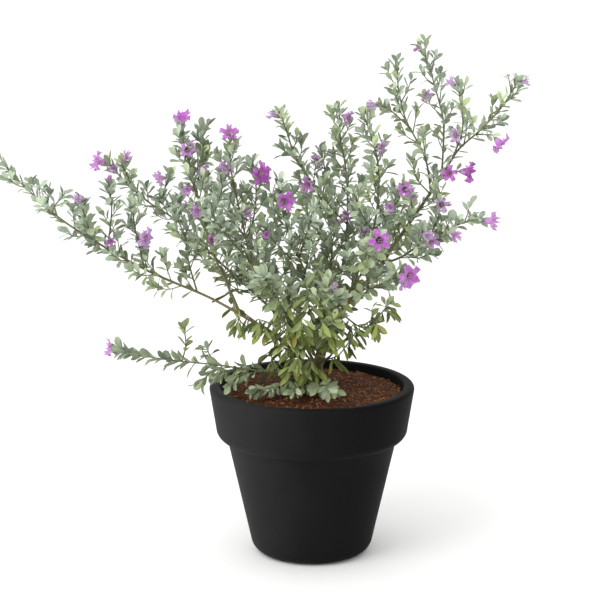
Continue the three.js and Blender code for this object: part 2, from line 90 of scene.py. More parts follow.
# Name: what carries it, how far along that it starts, the points after its start (x, y and the
# height above the pot's top), its radius at the foot and at the tip, and its leaves' kind.
TWIGS = {
    "left_sweep_stem": ("trunk", 0.57, [(-14, -4, 30), (-40, -10, 56), (-62, -14, 70),
        (-100, -22, 94), (-160, -34, 124), (-205, -42, 152), (-246, -50, 182),
        (-276, -54, 212), (-296, -56, 235)], 3, 1, "long_stem"),
    "left_sweep_shoot_1": ("left_sweep_stem", 0.4, [(-122, -16, 130), (-126, -10, 155),
        (-136, -8, 178)], 1.5, 0.8, "shoot"),
    "left_sweep_shoot_2": ("left_sweep_stem", 0.55, [(-168, -40, 148), (-172, -44, 170),
        (-174, -48, 192)], 1.5, 0.8, "shoot"),
    "left_sweep_shoot_3": ("left_sweep_stem", 0.66, [(-196, -44, 170), (-194, -46, 192),
        (-196, -48, 212)], 1.4, 0.8, "shoot"),
    "left_sweep_shoot_4": ("left_sweep_stem", 0.7, [(-216, -62, 176), (-222, -66, 200)],
        1.3, 0.8, "shoot"),
    "left_middle_stem": ("trunk", 0.78, [(-18, 14, 52), (-55, 24, 86), (-95, 30, 122),
        (-130, 34, 158), (-166, 38, 182), (-190, 40, 204), (-204, 42, 220)], 2.6, 1, "stem"),
    "left_middle_shoot": ("left_middle_stem", 0.7, [(-148, 32, 190), (-143, 30, 210)],
        1.3, 0.8, "shoot"),
    "left_high_stem": ("left_sweep_stem", 0.27, [(-86, -24, 114), (-98, -26, 142),
        (-106, -24, 175), (-116, -18, 212), (-124, -12, 242), (-128, -8, 264)], 2.2, 1, "stem"),
    "left_high_shoot": ("left_high_stem", 0.68, [(-108, 0, 238), (-110, 8, 262)],
        1.4, 0.8, "shoot"),
    "centre_left_stem": ("trunk", 0.85, [(-22, -24, 75), (-44, -34, 102), (-58, -40, 130),
        (-66, -40, 165), (-74, -34, 200), (-80, -26, 232), (-80, -20, 254)], 2.4, 1, "stem"),
    "centre_left_shoot_1": ("centre_left_stem", 0.6, [(-57, -26, 178), (-55, -18, 206),
        (-58, -14, 230)], 1.2, 0.8, "shoot"),
    "centre_left_shoot_2": ("centre_left_stem", 0.5, [(-90, -58, 175), (-100, -66, 196)],
        1.4, 0.8, "shoot"),
    "centre_stem": ("trunk", 0.9, [(12, -10, 68), (5, -16, 92), (-8, -14, 122), (-22, -12, 155),
        (-30, -16, 186), (-32, -20, 210)], 2.2, 1, "stem"),
    "centre_shoot": ("centre_stem", 0.55, [(-4, -26, 166), (2, -34, 188)], 1.4, 0.8, "shoot"),
    "centre_back_stem": ("trunk", 0.93, [(10, 24, 74), (20, 46, 115), (16, 62, 165),
        (0, 70, 195), (-18, 74, 225), (-26, 76, 250), (-32, 78, 266)], 2.4, 1, "stem"),
    "centre_back_shoot": ("centre_back_stem", 0.6, [(14, 82, 202), (10, 88, 224)],
        1.4, 0.8, "shoot"),
    "right_tall_stem": ("trunk", 1, [(28, 8, 72), (44, 10, 92), (66, 12, 116), (82, 10, 142),
        (96, 6, 164), (114, 2, 192), (132, -2, 222)], 4.2, 1.8, "bare_stem"),
    "right_tall_shoot_1": ("right_tall_stem", 0.99, [(144, -6, 242), (162, -12, 260),
        (182, -18, 283), (198, -24, 310)], 1.7, 0.8, "high_shoot"),
    "right_tall_shoot_2": ("right_tall_stem", 0.86, [(112, 8, 230), (92, 14, 270),
        (86, 18, 294), (82, 20, 326)], 1.6, 0.8, "high_shoot"),
    "right_tall_shoot_3": ("right_tall_stem", 0.96, [(130, 20, 266), (125, 26, 288),
        (120, 30, 306), (114, 34, 325), (107, 36, 340)], 1.5, 0.8, "high_shoot"),
    "right_tall_shoot_4": ("right_tall_shoot_1", 0.12, [(146, -14, 260), (145, -20, 284),
        (140, -22, 308)], 1.3, 0.8, "high_shoot"),
    "right_tall_shoot_5": ("right_tall_shoot_1", 0.42, [(173, -34, 260)], 1.2, 0.8, "spur"),
    "right_tall_shoot_6": ("right_tall_stem", 0.95, [(140, -24, 223)], 1.2, 0.8, "spur"),
    "centre_right_stem": ("right_tall_stem", 0.06, [(27, 24, 96), (33, 32, 130), (36, 34, 175),
        (34, 36, 215), (28, 34, 250), (27, 32, 280)], 2.2, 1, "stem"),
    "centre_right_shoot": ("centre_right_stem", 0.45, [(18, 18, 180), (8, 12, 200)],
        1.4, 0.8, "shoot"),
    "right_middle_stem": ("right_tall_stem", 0.12, [(46, -12, 120), (58, -18, 155),
        (64, -20, 190), (64, -18, 230), (56, -12, 260), (50, -8, 276)], 2.2, 1, "stem"),
    "right_middle_shoot_1": ("right_middle_stem", 0.45, [(48, -34, 182), (40, -42, 204)],
        1.4, 0.8, "shoot"),
    "right_middle_shoot_2": ("right_middle_stem", 0.5, [(80, -34, 190), (88, -40, 210)],
        1.4, 0.8, "shoot"),
    "right_low_stem": ("right_tall_stem", 0.42, [(88, -12, 134), (107, -26, 150),
        (126, -38, 163), (145, -46, 175), (160, -52, 180)], 2, 1, "stem"),
    "right_low_shoot": ("right_low_stem", 0.55, [(124, -26, 182), (120, -24, 204)],
        1.4, 0.8, "shoot"),
    "right_front_stem": ("right_tall_stem", 0.3, [(58, -22, 104), (76, -46, 118),
        (88, -64, 127)], 1.8, 0.9, "shoot"),
    "right_spray": ("right_tall_stem", 0.1, [(52, -14, 62), (66, -22, 76), (76, -28, 90)],
        1.4, 0.8, "low_shoot"),
    "front_shoot_1": ("trunk", 0.76, [(12, -26, 56), (18, -56, 92), (14, -82, 118)],
        1.8, 0.9, "front_shoot"),
    "front_shoot_2": ("centre_left_stem", 0.22, [(-40, -62, 112), (-46, -84, 130)],
        1.5, 0.9, "front_shoot"),
    "front_shoot_3": ("right_middle_stem", 0.25, [(54, -46, 138), (60, -68, 156),
        (62, -84, 166)], 1.5, 0.9, "front_shoot"),
    "base_shoot_1": ("trunk", 0.6, [(4, -18, 21), (-8, -34, 42), (-24, -42, 68),
        (-30, -46, 92)], 2, 1, "base_shoot"),
    "base_shoot_2": ("trunk", 0.68, [(20, -18, 36), (18, -40, 58), (8, -56, 80)],
        1.8, 1, "base_tip"),
    "low_runner": ("trunk", 0.5, [(-22, -10, 11), (-60, -14, 18), (-98, -12, 23),
        (-132, -14, 27), (-162, -16, 32), (-188, -18, 39)], 1.8, 0.9, "runner"),
    "front_sprig": ("trunk", 0.49, [(4, -24, 8), (8, -48, 11), (14, -72, 14)],
        1.5, 0.9, "base_sprig"),
    "back_left_stem": ("trunk", 0.64, [(-12, 26, 44), (-40, 64, 100), (-70, 92, 135),
        (-96, 114, 168), (-110, 126, 192)], 2.4, 1, "stem"),
    "back_left_shoot": ("back_left_stem", 0.5, [(-40, 106, 142), (-36, 124, 168)],
        1.4, 0.8, "shoot"),
    "back_right_stem": ("trunk", 0.84, [(34, 34, 70), (52, 68, 102), (74, 98, 128),
        (92, 122, 152), (104, 134, 172)], 2.4, 1, "stem"),
    "back_stem": ("trunk", 0.74, [(12, 38, 62), (4, 84, 110), (-2, 118, 140), (-6, 140, 166)],
        2.2, 1, "stem"),
}

# Side shoots that are one piece with the stem that carries them.
FORKS = {
    "left_sweep_fork": ("left_sweep_stem", 0.83, [(-246, -60, 196), (-238, -62, 206)], 1.2, 0.8),
    "left_middle_fork": ("left_middle_stem", 0.88, [(-190, 28, 222)], 1.2, 0.8),
    "left_high_fork": ("left_high_stem", 0.5, [(-92, -36, 192), (-86, -40, 214)], 1.2, 0.8),
    "centre_fork": ("centre_stem", 0.45, [(-38, -32, 155), (-48, -42, 174)], 1.2, 0.8),
    "right_tall_fork_1": ("right_tall_stem", 0.85, [(102, -10, 214), (98, -14, 232)], 1.2, 0.8),
    "right_tall_fork_2": ("right_tall_shoot_2", 0.5, [(78, 6, 278), (68, 2, 284)], 1.1, 0.8),
    "right_low_fork": ("right_low_stem", 0.35, [(104, -46, 156), (106, -58, 170)], 1.2, 0.8),
    "low_runner_fork": ("low_runner", 0.7, [(-126, -14, 44), (-127, -14, 59)], 1.1, 0.8),
    "back_left_fork": ("back_left_stem", 0.62, [(-104, 92, 146), (-122, 92, 164)], 1.2, 0.8),
    "back_right_fork_1": ("back_right_stem", 0.5, [(54, 108, 130), (58, 118, 150)], 1.2, 0.8),
    "back_right_fork_2": ("back_right_stem", 0.6, [(104, 98, 130), (122, 98, 144)], 1.2, 0.8),
}

# Twigs too slight for the CAD model, each one piece with the stem or shoot that it grows from:
# that stem, how far along it, and the points after its start. The second list is of those that
# lie on the soil.
SLIGHT_TWIGS = [
    ("base_shoot_1", 0.25, [(-12, -30, 34), (-22, -40, 46), (-27, -46, 52)]),
    ("base_shoot_1", 0.5, [(-24, -30, 58), (-42, -28, 70), (-54, -28, 74)]),
    ("base_shoot_1", 0.7, [(-12, -56, 74), (-10, -66, 84)]),
    ("base_shoot_2", 0.3, [(28, -24, 44), (36, -26, 58), (40, -28, 68)]),
    ("base_shoot_2", 0.6, [(22, -46, 66), (30, -50, 78)]),
    ("base_shoot_1", 0.0, [(-8, -16, 8), (-16, -28, 16), (-22, -36, 28)]),
    ("base_shoot_1", 0.05, [(-20, -14, 16), (-34, -18, 26), (-44, -20, 38)]),
    ("base_shoot_2", 0.05, [(8, -22, 16), (4, -34, 26), (-2, -42, 38)]),
    ("base_shoot_1", 0.1, [(-14, -8, 24), (-30, 2, 40), (-40, 6, 56)]),
    ("base_shoot_1", 0.15, [(-2, -30, 24), (-10, -44, 32), (-14, -52, 42)]),
    ("base_shoot_2", 0.15, [(26, -18, 34), (36, -14, 46), (46, -10, 60)]),
    ("left_sweep_stem", 0.12, [(-44, -24, 60), (-52, -34, 74)]),
    ("left_sweep_stem", 0.17, [(-66, -24, 66), (-74, -32, 78)]),
    ("left_sweep_stem", 0.21, [(-80, -6, 88), (-82, 0, 106), (-80, 4, 122)]),
    ("left_middle_stem", 0.25, [(-40, 34, 92), (-44, 42, 112)]),
    ("right_spray", 0.4, [(66, -12, 74), (76, -8, 82)]),
    ("right_spray", 0.6, [(62, -36, 72), (64, -46, 76)]),
    ("centre_stem", 0.02, [(2, -34, 68), (-3, -46, 88), (-5, -52, 112)]),
    ("centre_stem", 0.05, [(16, -34, 64), (23, -48, 86), (25, -54, 108)]),
    ("centre_left_stem", 0.05, [(-12, -30, 58), (-21, -44, 80), (-26, -50, 102)]),
    ("centre_stem", 0.15, [(8, -28, 84), (8, -40, 108), (4, -46, 130)]),
]
SOIL_TWIGS = [
    ("low_runner", 0.08, [(-26, -26, 10), (-42, -44, 7), (-56, -52, 8)]),
    ("low_runner", 0.14, [(-38, -6, 14), (-56, 4, 15), (-68, 8, 17)]),
    ("low_runner", 0.35, [(-80, -20, 20), (-94, -28, 17)]),
    ("low_runner", 0.45, [(-98, -20, 19), (-110, -28, 10)]),
    ("low_runner", 0.5, [(-102, -4, 30), (-106, 2, 38)]),
    ("low_runner", 0.28, [(-70, -28, 17), (-80, -40, 12)]),
    ("front_sprig", 0.3, [(-8, -34, 8), (-18, -50, 8)]),
    ("front_sprig", 0.45, [(14, -46, 10), (20, -60, 11)]),
]

# How each kind of twig is clothed: the share of it that is bare, its leaves' size against the
# leaf length, how young (silvery) they are, the space between leaves against the leaf spacing,
# how far they hang, where its side sprigs start and the space between those in millimetres
# (none where that is 0). Leaves low in the bush lose most of their silver, partly as old green
# leaves and partly as painted shade, so that low twigs with young leaves need more than 1 of it.
KINDS = {
    "stem": (0.22, 1.0, 0.75, 1.42, 0.1, 0.2, 8),
    "long_stem": (0.4, 1.0, 0.75, 1.48, 0.1, 0.4, 10),
    "bare_stem": (0.3, 1.0, 0.7, 1.5, 0.1, 0.27, 12),
    "shoot": (0.08, 1.0, 0.95, 1.28, 0.0, 0.12, 10),
    "high_shoot": (0.08, 0.92, 0.95, 1.36, 0.0, 0.15, 11),
    "spur": (0.3, 0.8, 0.95, 1.4, 0.0, 0, 0),
    "front_shoot": (0.12, 1.15, 0.9, 1.1, 0.1, 0.2, 9),
    "low_shoot": (0.15, 0.95, 0.4, 1.3, 0.5, 0.3, 13),
    "runner": (0.34, 1.2, 2.6, 1.3, 0.1, 0, 0),
    "base_shoot": (0.1, 1.6, 0.1, 1.35, 1.5, 0.2, 13),
    "base_tip": (0.62, 1.5, 0.1, 1.4, 1.2, 0.6, 13),
    "base_sprig": (0.2, 1.1, 2.4, 1.1, 0.5, 0, 0),
    "slight": (0.1, 1.45, 0.1, 1.35, 1.3, 0, 0),
    "sprig": (0.3, 0.96, 1.0, 1.0, 0.0, 0, 0),
    "high_sprig": (0.3, 0.85, 1.0, 1.15, 0.0, 0, 0),
}

# The twelve flowers of the CAD model: what carries each, how far along, where it faces, its
# size against a full one, and its shade from pale (0) to deep (1).
CAD_FLOWERS = [
    ("left_middle_stem", 1, (-0.75, -0.5, 0.25), 0.95, 0.6),
    ("left_sweep_shoot_2", 0.55, (0.7, -0.6, -0.1), 0.9, 0.35),
    ("left_high_stem", 1, (0.1, -0.6, 0.8), 0.8, 0.8),
    ("centre_left_stem", 1, (0, -0.8, 0.6), 0.85, 0.75),
    ("centre_left_shoot_1", 0.9, (0.5, -0.8, -0.1), 1, 1.0),
    ("centre_stem", 0.9, (0.3, -0.9, 0.1), 0.9, 0.8),
    ("front_shoot_3", 1, (0.1, -0.95, 0.1), 1, 0.75),
    ("right_front_stem", 1, (0.4, -0.85, 0.1), 1, 0.75),
    ("right_low_stem", 1, (0.95, -0.3, -0.1), 0.85, 0.55),
    ("right_tall_shoot_6", 1, (0.8, -0.6, 0), 1, 1.0),
    ("right_tall_shoot_5", 1, (0.6, -0.4, -0.6), 0.9, 0.75),
    ("low_runner", 1, (-0.95, -0.1, 0.2), 0.8, 0.6),
]

# The smaller flowers: the same, and the shape: 0 wide open, 1 half open, 2 bud.
SMALL_FLOWERS = [
    ("left_sweep_shoot_4", 0.9, (-0.3, -0.5, 0.8), 0.7, 0.3, 1),
    ("left_sweep_shoot_3", 1, (0.1, -0.3, 0.9), 0.7, 0.7, 2),
    ("left_sweep_shoot_3", 0.2, (0.2, -0.9, -0.3), 0.8, 0.6, 1),
    ("left_middle_stem", 0.95, (-0.5, -0.4, 0.8), 0.8, 0.4, 0),
    ("left_middle_fork", 1, (0.5, -0.5, 0.7), 0.8, 0.3, 1),
    ("left_middle_shoot", 0.95, (-0.8, -0.5, 0), 0.85, 0.5, 0),
    ("left_high_stem", 0.9, (0.3, -0.9, -0.1), 0.95, 0.55, 0),
    ("left_high_stem", 0.7, (-0.6, -0.7, -0.2), 0.8, 0.5, 1),
    ("left_high_stem", 0.58, (-0.4, -0.9, 0), 0.8, 0.6, 0),
    ("left_high_stem", 0.46, (0.5, -0.8, -0.3), 0.85, 1.0, 1),
    ("left_high_shoot", 0.35, (0.3, -0.9, 0), 0.8, 0.5, 0),
    ("centre_left_stem", 0.9, (-0.4, -0.8, -0.2), 0.85, 0.6, 0),
    ("centre_left_stem", 0.72, (0.6, -0.8, 0), 0.8, 0.5, 1),
    ("centre_fork", 0.8, (-0.3, -0.9, 0.1), 0.6, 0.8, 1),
    ("centre_right_stem", 0.5, (-0.2, -0.95, 0), 0.85, 0.6, 1),
    ("centre_right_stem", 0.96, (0.8, -0.5, -0.2), 0.85, 0.4, 0),
    ("centre_back_shoot", 0.9, (-0.5, -0.8, -0.2), 0.9, 0.2, 0),
    ("centre_back_stem", 0.68, (-0.4, -0.9, 0), 0.95, 0.55, 0),
    ("centre_back_stem", 0.98, (-0.9, -0.2, 0.4), 0.8, 0.1, 1),
    ("right_middle_stem", 0.86, (0.7, -0.7, -0.2), 0.9, 0.15, 0),
    ("right_tall_fork_2", 1, (-0.9, -0.4, 0.1), 0.75, 0.1, 1),
    ("right_middle_shoot_2", 1, (0.1, -0.9, -0.1), 0.9, 0.7, 0),
    ("right_middle_shoot_2", 0.6, (-0.5, -0.8, -0.1), 0.8, 0.6, 1),
    ("right_middle_shoot_1", 0.3, (-0.2, -0.7, -0.6), 0.7, 0.95, 1),
    ("right_tall_shoot_4", 0.35, (-0.6, -0.7, 0), 0.85, 0.2, 0),
    ("right_tall_shoot_4", 0.97, (-0.7, -0.4, 0.5), 0.75, 0.15, 1),
    ("right_tall_shoot_3", 0.62, (-0.9, -0.4, -0.1), 0.8, 0.3, 1),
    ("right_tall_shoot_3", 1, (-0.6, -0.6, -0.4), 0.6, 0.7, 2),
    ("right_tall_shoot_1", 0.98, (0.9, -0.2, 0.3), 0.7, 0.1, 1),
    ("right_tall_shoot_6", 0.6, (-0.1, -0.9, 0.1), 0.9, 0.75, 0),
    ("right_low_stem", 0.55, (0.2, -0.95, 0.1), 0.9, 0.45, 0),
    ("right_low_stem", 0.74, (0.5, -0.8, -0.3), 0.85, 0.4, 1),
    ("right_low_shoot", 0.7, (0.2, -0.9, 0.2), 0.85, 0.2, 0),
    ("right_low_fork", 1, (0.4, -0.8, -0.3), 0.75, 0.3, 1),
    ("right_front_stem", 0.85, (0.7, -0.6, -0.4), 0.85, 0.25, 0),
    ("front_shoot_1", 1, (0.7, -0.6, 0.2), 0.6, 0.6, 1),
    ("back_left_stem", 0.95, (-0.4, 0.8, 0.3), 0.9, 0.5, 0),
    ("back_left_fork", 1, (-0.8, 0.3, 0.3), 0.8, 0.4, 1),
    ("back_right_stem", 0.96, (0.5, 0.8, 0.1), 0.95, 0.6, 0),
    ("back_stem", 0.97, (0.1, 0.9, 0.3), 0.9, 0.5, 0),
    ("back_stem", 0.6, (0.5, 0.8, 0.1), 0.8, 0.3, 1),
    ("centre_back_stem", 0.5, (0.4, 0.9, 0.1), 0.85, 0.5, 0),
]

# ---------------------------------------------------------------------------
# Lines of the plant
# ---------------------------------------------------------------------------

STEPS = 8  # straight stretches between two points of the plan


def smooth_line(points):
    """A centripetal Catmull-Rom curve through the points, as a list of close points."""
    before = points[0] * 2 - points[1]
    after = points[-1] * 2 - points[-2]
    stops = [before, *points, after]
    line = [points[0].copy()]
    for a, b, c, d in zip(stops, stops[1:], stops[2:], stops[3:]):
        gaps = [max((q - p).length, 1e-6) ** 0.5 for p, q in ((a, b), (b, c), (c, d))]
        start = (b - a) / gaps[0] - (c - a) / (gaps[0] + gaps[1]) + (c - b) / gaps[1]
        end = (c - b) / gaps[1] - (d - b) / (gaps[1] + gaps[2]) + (d - c) / gaps[2]
        start *= gaps[1]
        end *= gaps[1]
        for step in range(1, STEPS + 1):
            t = step / STEPS
            line.append(
                b * (2 * t**3 - 3 * t**2 + 1)
                + start * (t**3 - 2 * t**2 + t)
                + c * (3 * t**2 - 2 * t**3)
                + end * (t**3 - t**2)
            )
    return line


def line_length(line):
    return sum((b - a).length for a, b in zip(line, line[1:]))


def point_on(line, share):
    """The point a share of the way along a line, and the line's direction there."""
    left = share * line_length(line)
    for a, b in zip(line, line[1:]):
        span = (b - a).length
        if left <= span or b is line[-1]:
            return a + (b - a) * min(1, left / span), (b - a).normalized()
        left -= span
    raise ValueError("a line needs two points")


class Twig:
    """One stem, shoot or sprig: its line, radii in metres, kind, and the CAD node it is in."""

    def __init__(self, name, node, line, foot_radius, tip_radius, kind):
        self.name = name
        self.node = node
        self.line = line
        self.foot_radius = foot_radius * MM
        self.tip_radius = tip_radius * MM
        self.kind = kind


PLANT_HEIGHT_SCALE = 0.989  # of the heights in the plan, as in the CAD model


def in_pot(points):
    return [Vector((x * MM, y * MM, POT_TOP + above * MM * PLANT_HEIGHT_SCALE))
            for x, y, above in points]


SHORTEST_SPRIG = 9 * MM
LAST_SPRIG = 0.93  # share of the way along a stem
FULL_STEM = 150 * MM  # shorter stems have shorter sprigs
SPRIG_CLEARANCE = 12 * MM  # over the pot's top
SPRIG_RADII = (0.8, 0.4)  # in millimetres, at foot and tip
SLIGHT_RADII = (1.1, 0.7)
GOLDEN_TURN = math.radians(137.5)  # between one leaf or sprig and the next


def grow_side_sprigs(twig, dice, longest):
    """Short sprigs round a stem, longest in its middle, that turn up towards the light."""
    sprigs_from, gap = KINDS[twig.kind][5:]
    if not gap:
        return []
    length = line_length(twig.line)
    stretch = LAST_SPRIG - sprigs_from
    count = int(stretch * length / (gap * MM))
    sprigs = []
    turn = dice.uniform(0, 2 * math.pi)
    for i in range(count):
        share = sprigs_from + stretch * (i + dice.uniform(0.2, 0.8)) / count
        foot, ahead = point_on(twig.line, share)
        side = ahead.orthogonal().normalized()
        turn += GOLDEN_TURN + dice.uniform(-0.4, 0.4)
        out = Matrix.Rotation(turn, 3, ahead) @ side
        swing = (ahead * 0.7 + out * 0.8 + Vector((0, 0, 0.25))).normalized()
        reach = longest * min(1, length / FULL_STEM) * (1.15 - 0.6 * share)
        reach = max(reach * dice.uniform(0.6, 1.15), SHORTEST_SPRIG)
        middle = foot + swing * reach * 0.5
        tip = middle + (swing + Vector((0, 0, 0.45))).normalized() * reach * 0.5
        if tip.z < POT_TOP + SPRIG_CLEARANCE:
            continue
        line = smooth_line([foot, middle, tip])
        kind = "high_sprig" if twig.kind == "high_shoot" else "sprig"
        sprigs.append(Twig(f"{twig.name}_sprig_{i}", twig.node, line, *SPRIG_RADII, kind))
    return sprigs


SLENDER = 0.78  # twigs' radii against those in the plan, which are the CAD model's


def plan_plant(seed, longest_sprig):
    """Every twig of the plant by name, with its forks and side sprigs."""
    points, foot_radius, tip_radius = TRUNK
    plant = {"trunk": Twig("trunk", "trunk", smooth_line(in_pot(points)), foot_radius,
                           tip_radius, "trunk")}
    rows = {**TWIGS, **{name: (*row, "sprig") for name, row in FORKS.items()},
            **{f"slight_{i}": (*row, *SLIGHT_RADII, "slight")
               for i, row in enumerate(SLIGHT_TWIGS)},
            **{f"soil_{i}": (*row, *SLIGHT_RADII, "base_sprig")
               for i, row in enumerate(SOIL_TWIGS)}}
    for name, (parent, share, via, foot_radius, tip_radius, kind) in rows.items():
        start = point_on(plant[parent].line, share)[0]
        node = name if name in TWIGS else plant[parent].node
        line = smooth_line([start, *in_pot(via)])
        plant[name] = Twig(name, node, line, foot_radius * SLENDER, tip_radius * SLENDER, kind)
    for name in TWIGS:
        dice = random.Random(f"{seed} {name}")
        for sprig in grow_side_sprigs(plant[name], dice, longest_sprig):
            plant[sprig.name] = sprig
    return plant


# ---------------------------------------------------------------------------
# Settings
# ---------------------------------------------------------------------------


def length_setting(name, description, default):
    return bpy.props.FloatProperty(
        name=name, description=description, default=default, min=0, unit="LENGTH", precision=5
    )


def angle_setting(name, description, degrees):
    return bpy.props.FloatProperty(
        name=name, description=description, default=math.radians(degrees), subtype="ANGLE"
    )


def linear(hex_colour):
    """An sRGB hex colour as linear red, green, blue and alpha."""
    parts = [int(hex_colour[i : i + 2], 16) / 255 for i in (1, 3, 5)]
    return (*[c / 12.92 if c <= 0.04045 else ((c + 0.055) / 1.055) ** 2.4 for c in parts], 1.0)


def colour_setting(name, description, hex_colour):
    return bpy.props.FloatVectorProperty(
        name=name, description=description, default=linear(hex_colour), size=4,
        subtype="COLOR", min=0, max=1,
    )


class SagePot(bpy.types.PropertyGroup):
    """The moulded pot."""

    wall: length_setting("Wall", "Thickness of the body's wall", 0.0055)
    band: length_setting("Band", "Height of the rim band", 0.0552)
    # The half faded and faded colours are painted light: the pot turns to these lighter greys on
    # its side towards the softbox.
    colour: colour_setting("Plastic", "Colour of the plastic", "#090909")
    painted_half_lit: colour_setting("Half painted light", "Grey of half the painted light", "#151515")
    painted_lit_side: colour_setting("Painted light", "Grey of the painted light on the side towards the softbox", "#282828")
    grain: length_setting("Grain", "Size of the moulding grain", 0.0009)


class SageSoil(bpy.types.PropertyGroup):
    """The coir potting mix."""

    chip: length_setting("Chip", "Length of a coir chip", 0.0037)
    fibre: length_setting("Fibre", "Length of a loose fibre", 0.012)
    seed: bpy.props.IntProperty(name="Seed", description="Layout of the chips", default=4)


class SageFoliage(bpy.types.PropertyGroup):
    """Twigs and leaves."""

    leaf_length: length_setting("Leaf", "Length of a full-grown upper leaf", 0.0145)
    leaf_spacing: length_setting("Spacing", "Distance between leaves along a twig", 0.0017)
    lean_at_foot: angle_setting("Lean at foot", "Leaf to twig, at the twig's foot", 62)
    lean_at_tip: angle_setting("Lean at tip", "Leaf to twig, at the twig's tip", 36)
    sprig: length_setting("Sprig", "Length of the longest side sprig", 0.034)
    young: colour_setting("Young leaf", "Silver felt on young leaves", "#B0BEA6")
    old: colour_setting("Old leaf", "Green of old leaves near the base", "#7D8B36")
    seed: bpy.props.IntProperty(name="Seed", description="Layout of sprigs and leaves", default=7)


class SageFlowers(bpy.types.PropertyGroup):
    """Flowers."""

    length: length_setting("Length", "Stalk and bell", 0.02)
    spread: length_setting("Spread", "Radius of an open flower", 0.0115)
    small: bpy.props.FloatProperty(name="Small", default=0.84,
                                   description="Size of the small flowers against their rows")
    petal: colour_setting("Petal", "Colour of a fresh petal", "#AE78BA")
    pale: colour_setting("Pale petal", "Colour of a fading petal", "#AE9ABB")
    seed: bpy.props.IntProperty(name="Seed", description="Turn of each flower", default=3)


class SageStage(bpy.types.PropertyGroup):
    """Floor, lights and camera."""

    floor: colour_setting("Floor", "Colour of the floor", "#FBFBFA")
    distance: length_setting("Distance", "Camera to plant", 2.0)
    lens: bpy.props.FloatProperty(name="Lens", description="Focal length in mm", default=120)
    elevation: angle_setting("Elevation", "Camera's height over the horizon", 12.6)


# ---------------------------------------------------------------------------
# Node and mesh helpers
# ---------------------------------------------------------------------------


def output_of(source):
    """A node's first output in use, or the output itself."""
    if isinstance(source, bpy.types.Node):
        return next(output for output in source.outputs if output.enabled)
    return source


def add_node(tree, kind, *in_order, inputs=None, **settings):
    """Adds a node, sets its properties, and fills its inputs in use, in order or by name, with
    values, outputs, or nodes, which stand for their first output in use."""
    node = tree.nodes.new(kind)
    for name, value in settings.items():
        setattr(node, name, value)
    in_use = [socket for socket in node.inputs if socket.enabled]
    filled = list(zip(in_use, in_order))
    for name, value in (inputs or {}).items():
        filled.append((next(socket for socket in in_use if socket.name == name), value))
    for socket, value in filled:
        value = output_of(value)
        if isinstance(value, bpy.types.NodeSocket):
            tree.links.new(value, socket)
        else:
            socket.default_value = value
    return node


def new_tree(name, sockets):
    """A geometry node tree with the given inputs and one geometry output: a function that adds
    its nodes, the inputs by name, and the node at its end."""
    tree = bpy.data.node_groups.new(name, "GeometryNodeTree")
    for label, kind in sockets:
        tree.interface.new_socket(label, in_out="INPUT", socket_type=kind)
    tree.interface.new_socket("Geometry", in_out="OUTPUT", socket_type="NodeSocketGeometry")
    given = tree.nodes.new("NodeGroupInput").outputs
    return partial(add_node, tree), given, tree.nodes.new("NodeGroupOutput")


def run_tree(base, tree, values, name):
    """Puts the tree on an object, sets its inputs, and returns the result as a plain object."""
    modifier = base.modifiers.new(tree.name, "NODES")
    modifier.node_group = tree
    for socket in tree.interface.items_tree:
        if socket.item_type == "SOCKET" and socket.name in values:
            modifier[socket.identifier] = values[socket.name]
    return settled(base, name)


def settled(base, name):
    """A new plain object from a linked one with its modifiers, which is then discarded."""
    bpy.context.view_layer.update()
    depsgraph = bpy.context.evaluated_depsgraph_get()
    mesh = bpy.data.meshes.new_from_object(
        base.evaluated_get(depsgraph), preserve_all_data_layers=True, depsgraph=depsgraph
    )
    base.modifiers.clear()
    discard(base)
    mesh.name = name
    # Shapes that had no finish before the tree gave them one leave an empty slot behind.
    finishes = [finish for finish in mesh.materials if finish]
    slots = [finishes.index(finish) if finish else 0 for finish in mesh.materials]
    places = [slots[face.material_index] for face in mesh.polygons]
    mesh.materials.clear()
    for finish in finishes:
        mesh.materials.append(finish)
    mesh.polygons.foreach_set("material_index", places)
    return link(bpy.data.objects.new(name, mesh))


def link(thing):
    bpy.context.scene.collection.objects.link(thing)
    return thing


def discard(*things):
    for thing in things:
        mesh = thing.data
        bpy.data.objects.remove(thing)
        bpy.data.meshes.remove(mesh)


def object_from(bm, name, *materials):
    """A linked, smooth object from a bmesh, with its faces turned outwards."""
    bmesh.ops.recalc_face_normals(bm, faces=bm.faces)
    mesh = bpy.data.meshes.new(name)
    bm.to_mesh(mesh)
    bm.free()
    for material in materials:
        mesh.materials.append(material)
    mesh.polygons.foreach_set("use_smooth", [True] * len(mesh.polygons))
    return link(bpy.data.objects.new(name, mesh))


def keep(piece, slot, *replaced):
    """Parents a finished piece to the object's body, and hides the CAD nodes that it stands for.
    """
    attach(piece, BODY)
    if replaced:
        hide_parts(*replaced)


def asset_collection(name, makers):
    """Shapes for a tree to pick from, out of the scene."""
    shapes = bpy.data.collections.new(name)
    for i, make in enumerate(makers):
        shape = make(f"{name}_{i}")
        bpy.context.scene.collection.objects.unlink(shape)
        shapes.objects.link(shape)
    return shapes


def discard_collection(shapes):
    discard(*list(shapes.objects))
    bpy.data.collections.remove(shapes)


# This UV map lays out a map for each piece's baked materials. Each leaf, flower or chip has
# a cell of its own in the lower part, and twigs are strips in the band above it.
BAKE_MAP = "OFBake"
CELLS_SHARE = 0.86
CELL_MARGIN = 0.04
STRIP_GAP = 0.01

# ---------------------------------------------------------------------------
# Materials
# ---------------------------------------------------------------------------


def new_material(name, looks):
    """A material, a function that adds its nodes, and its shader, with its looks by name."""
    material = bpy.data.materials.new(name)
    material.use_nodes = True
    tree = material.node_tree
    shader = tree.nodes["Principled BSDF"]
    for look, value in looks.items():
        shader.inputs[look].default_value = value
    return material, partial(add_node, tree), shader


def join(output, socket):
    """Links a node's first output in use, or an output, to a socket."""
    socket.id_data.links.new(output_of(output), socket)


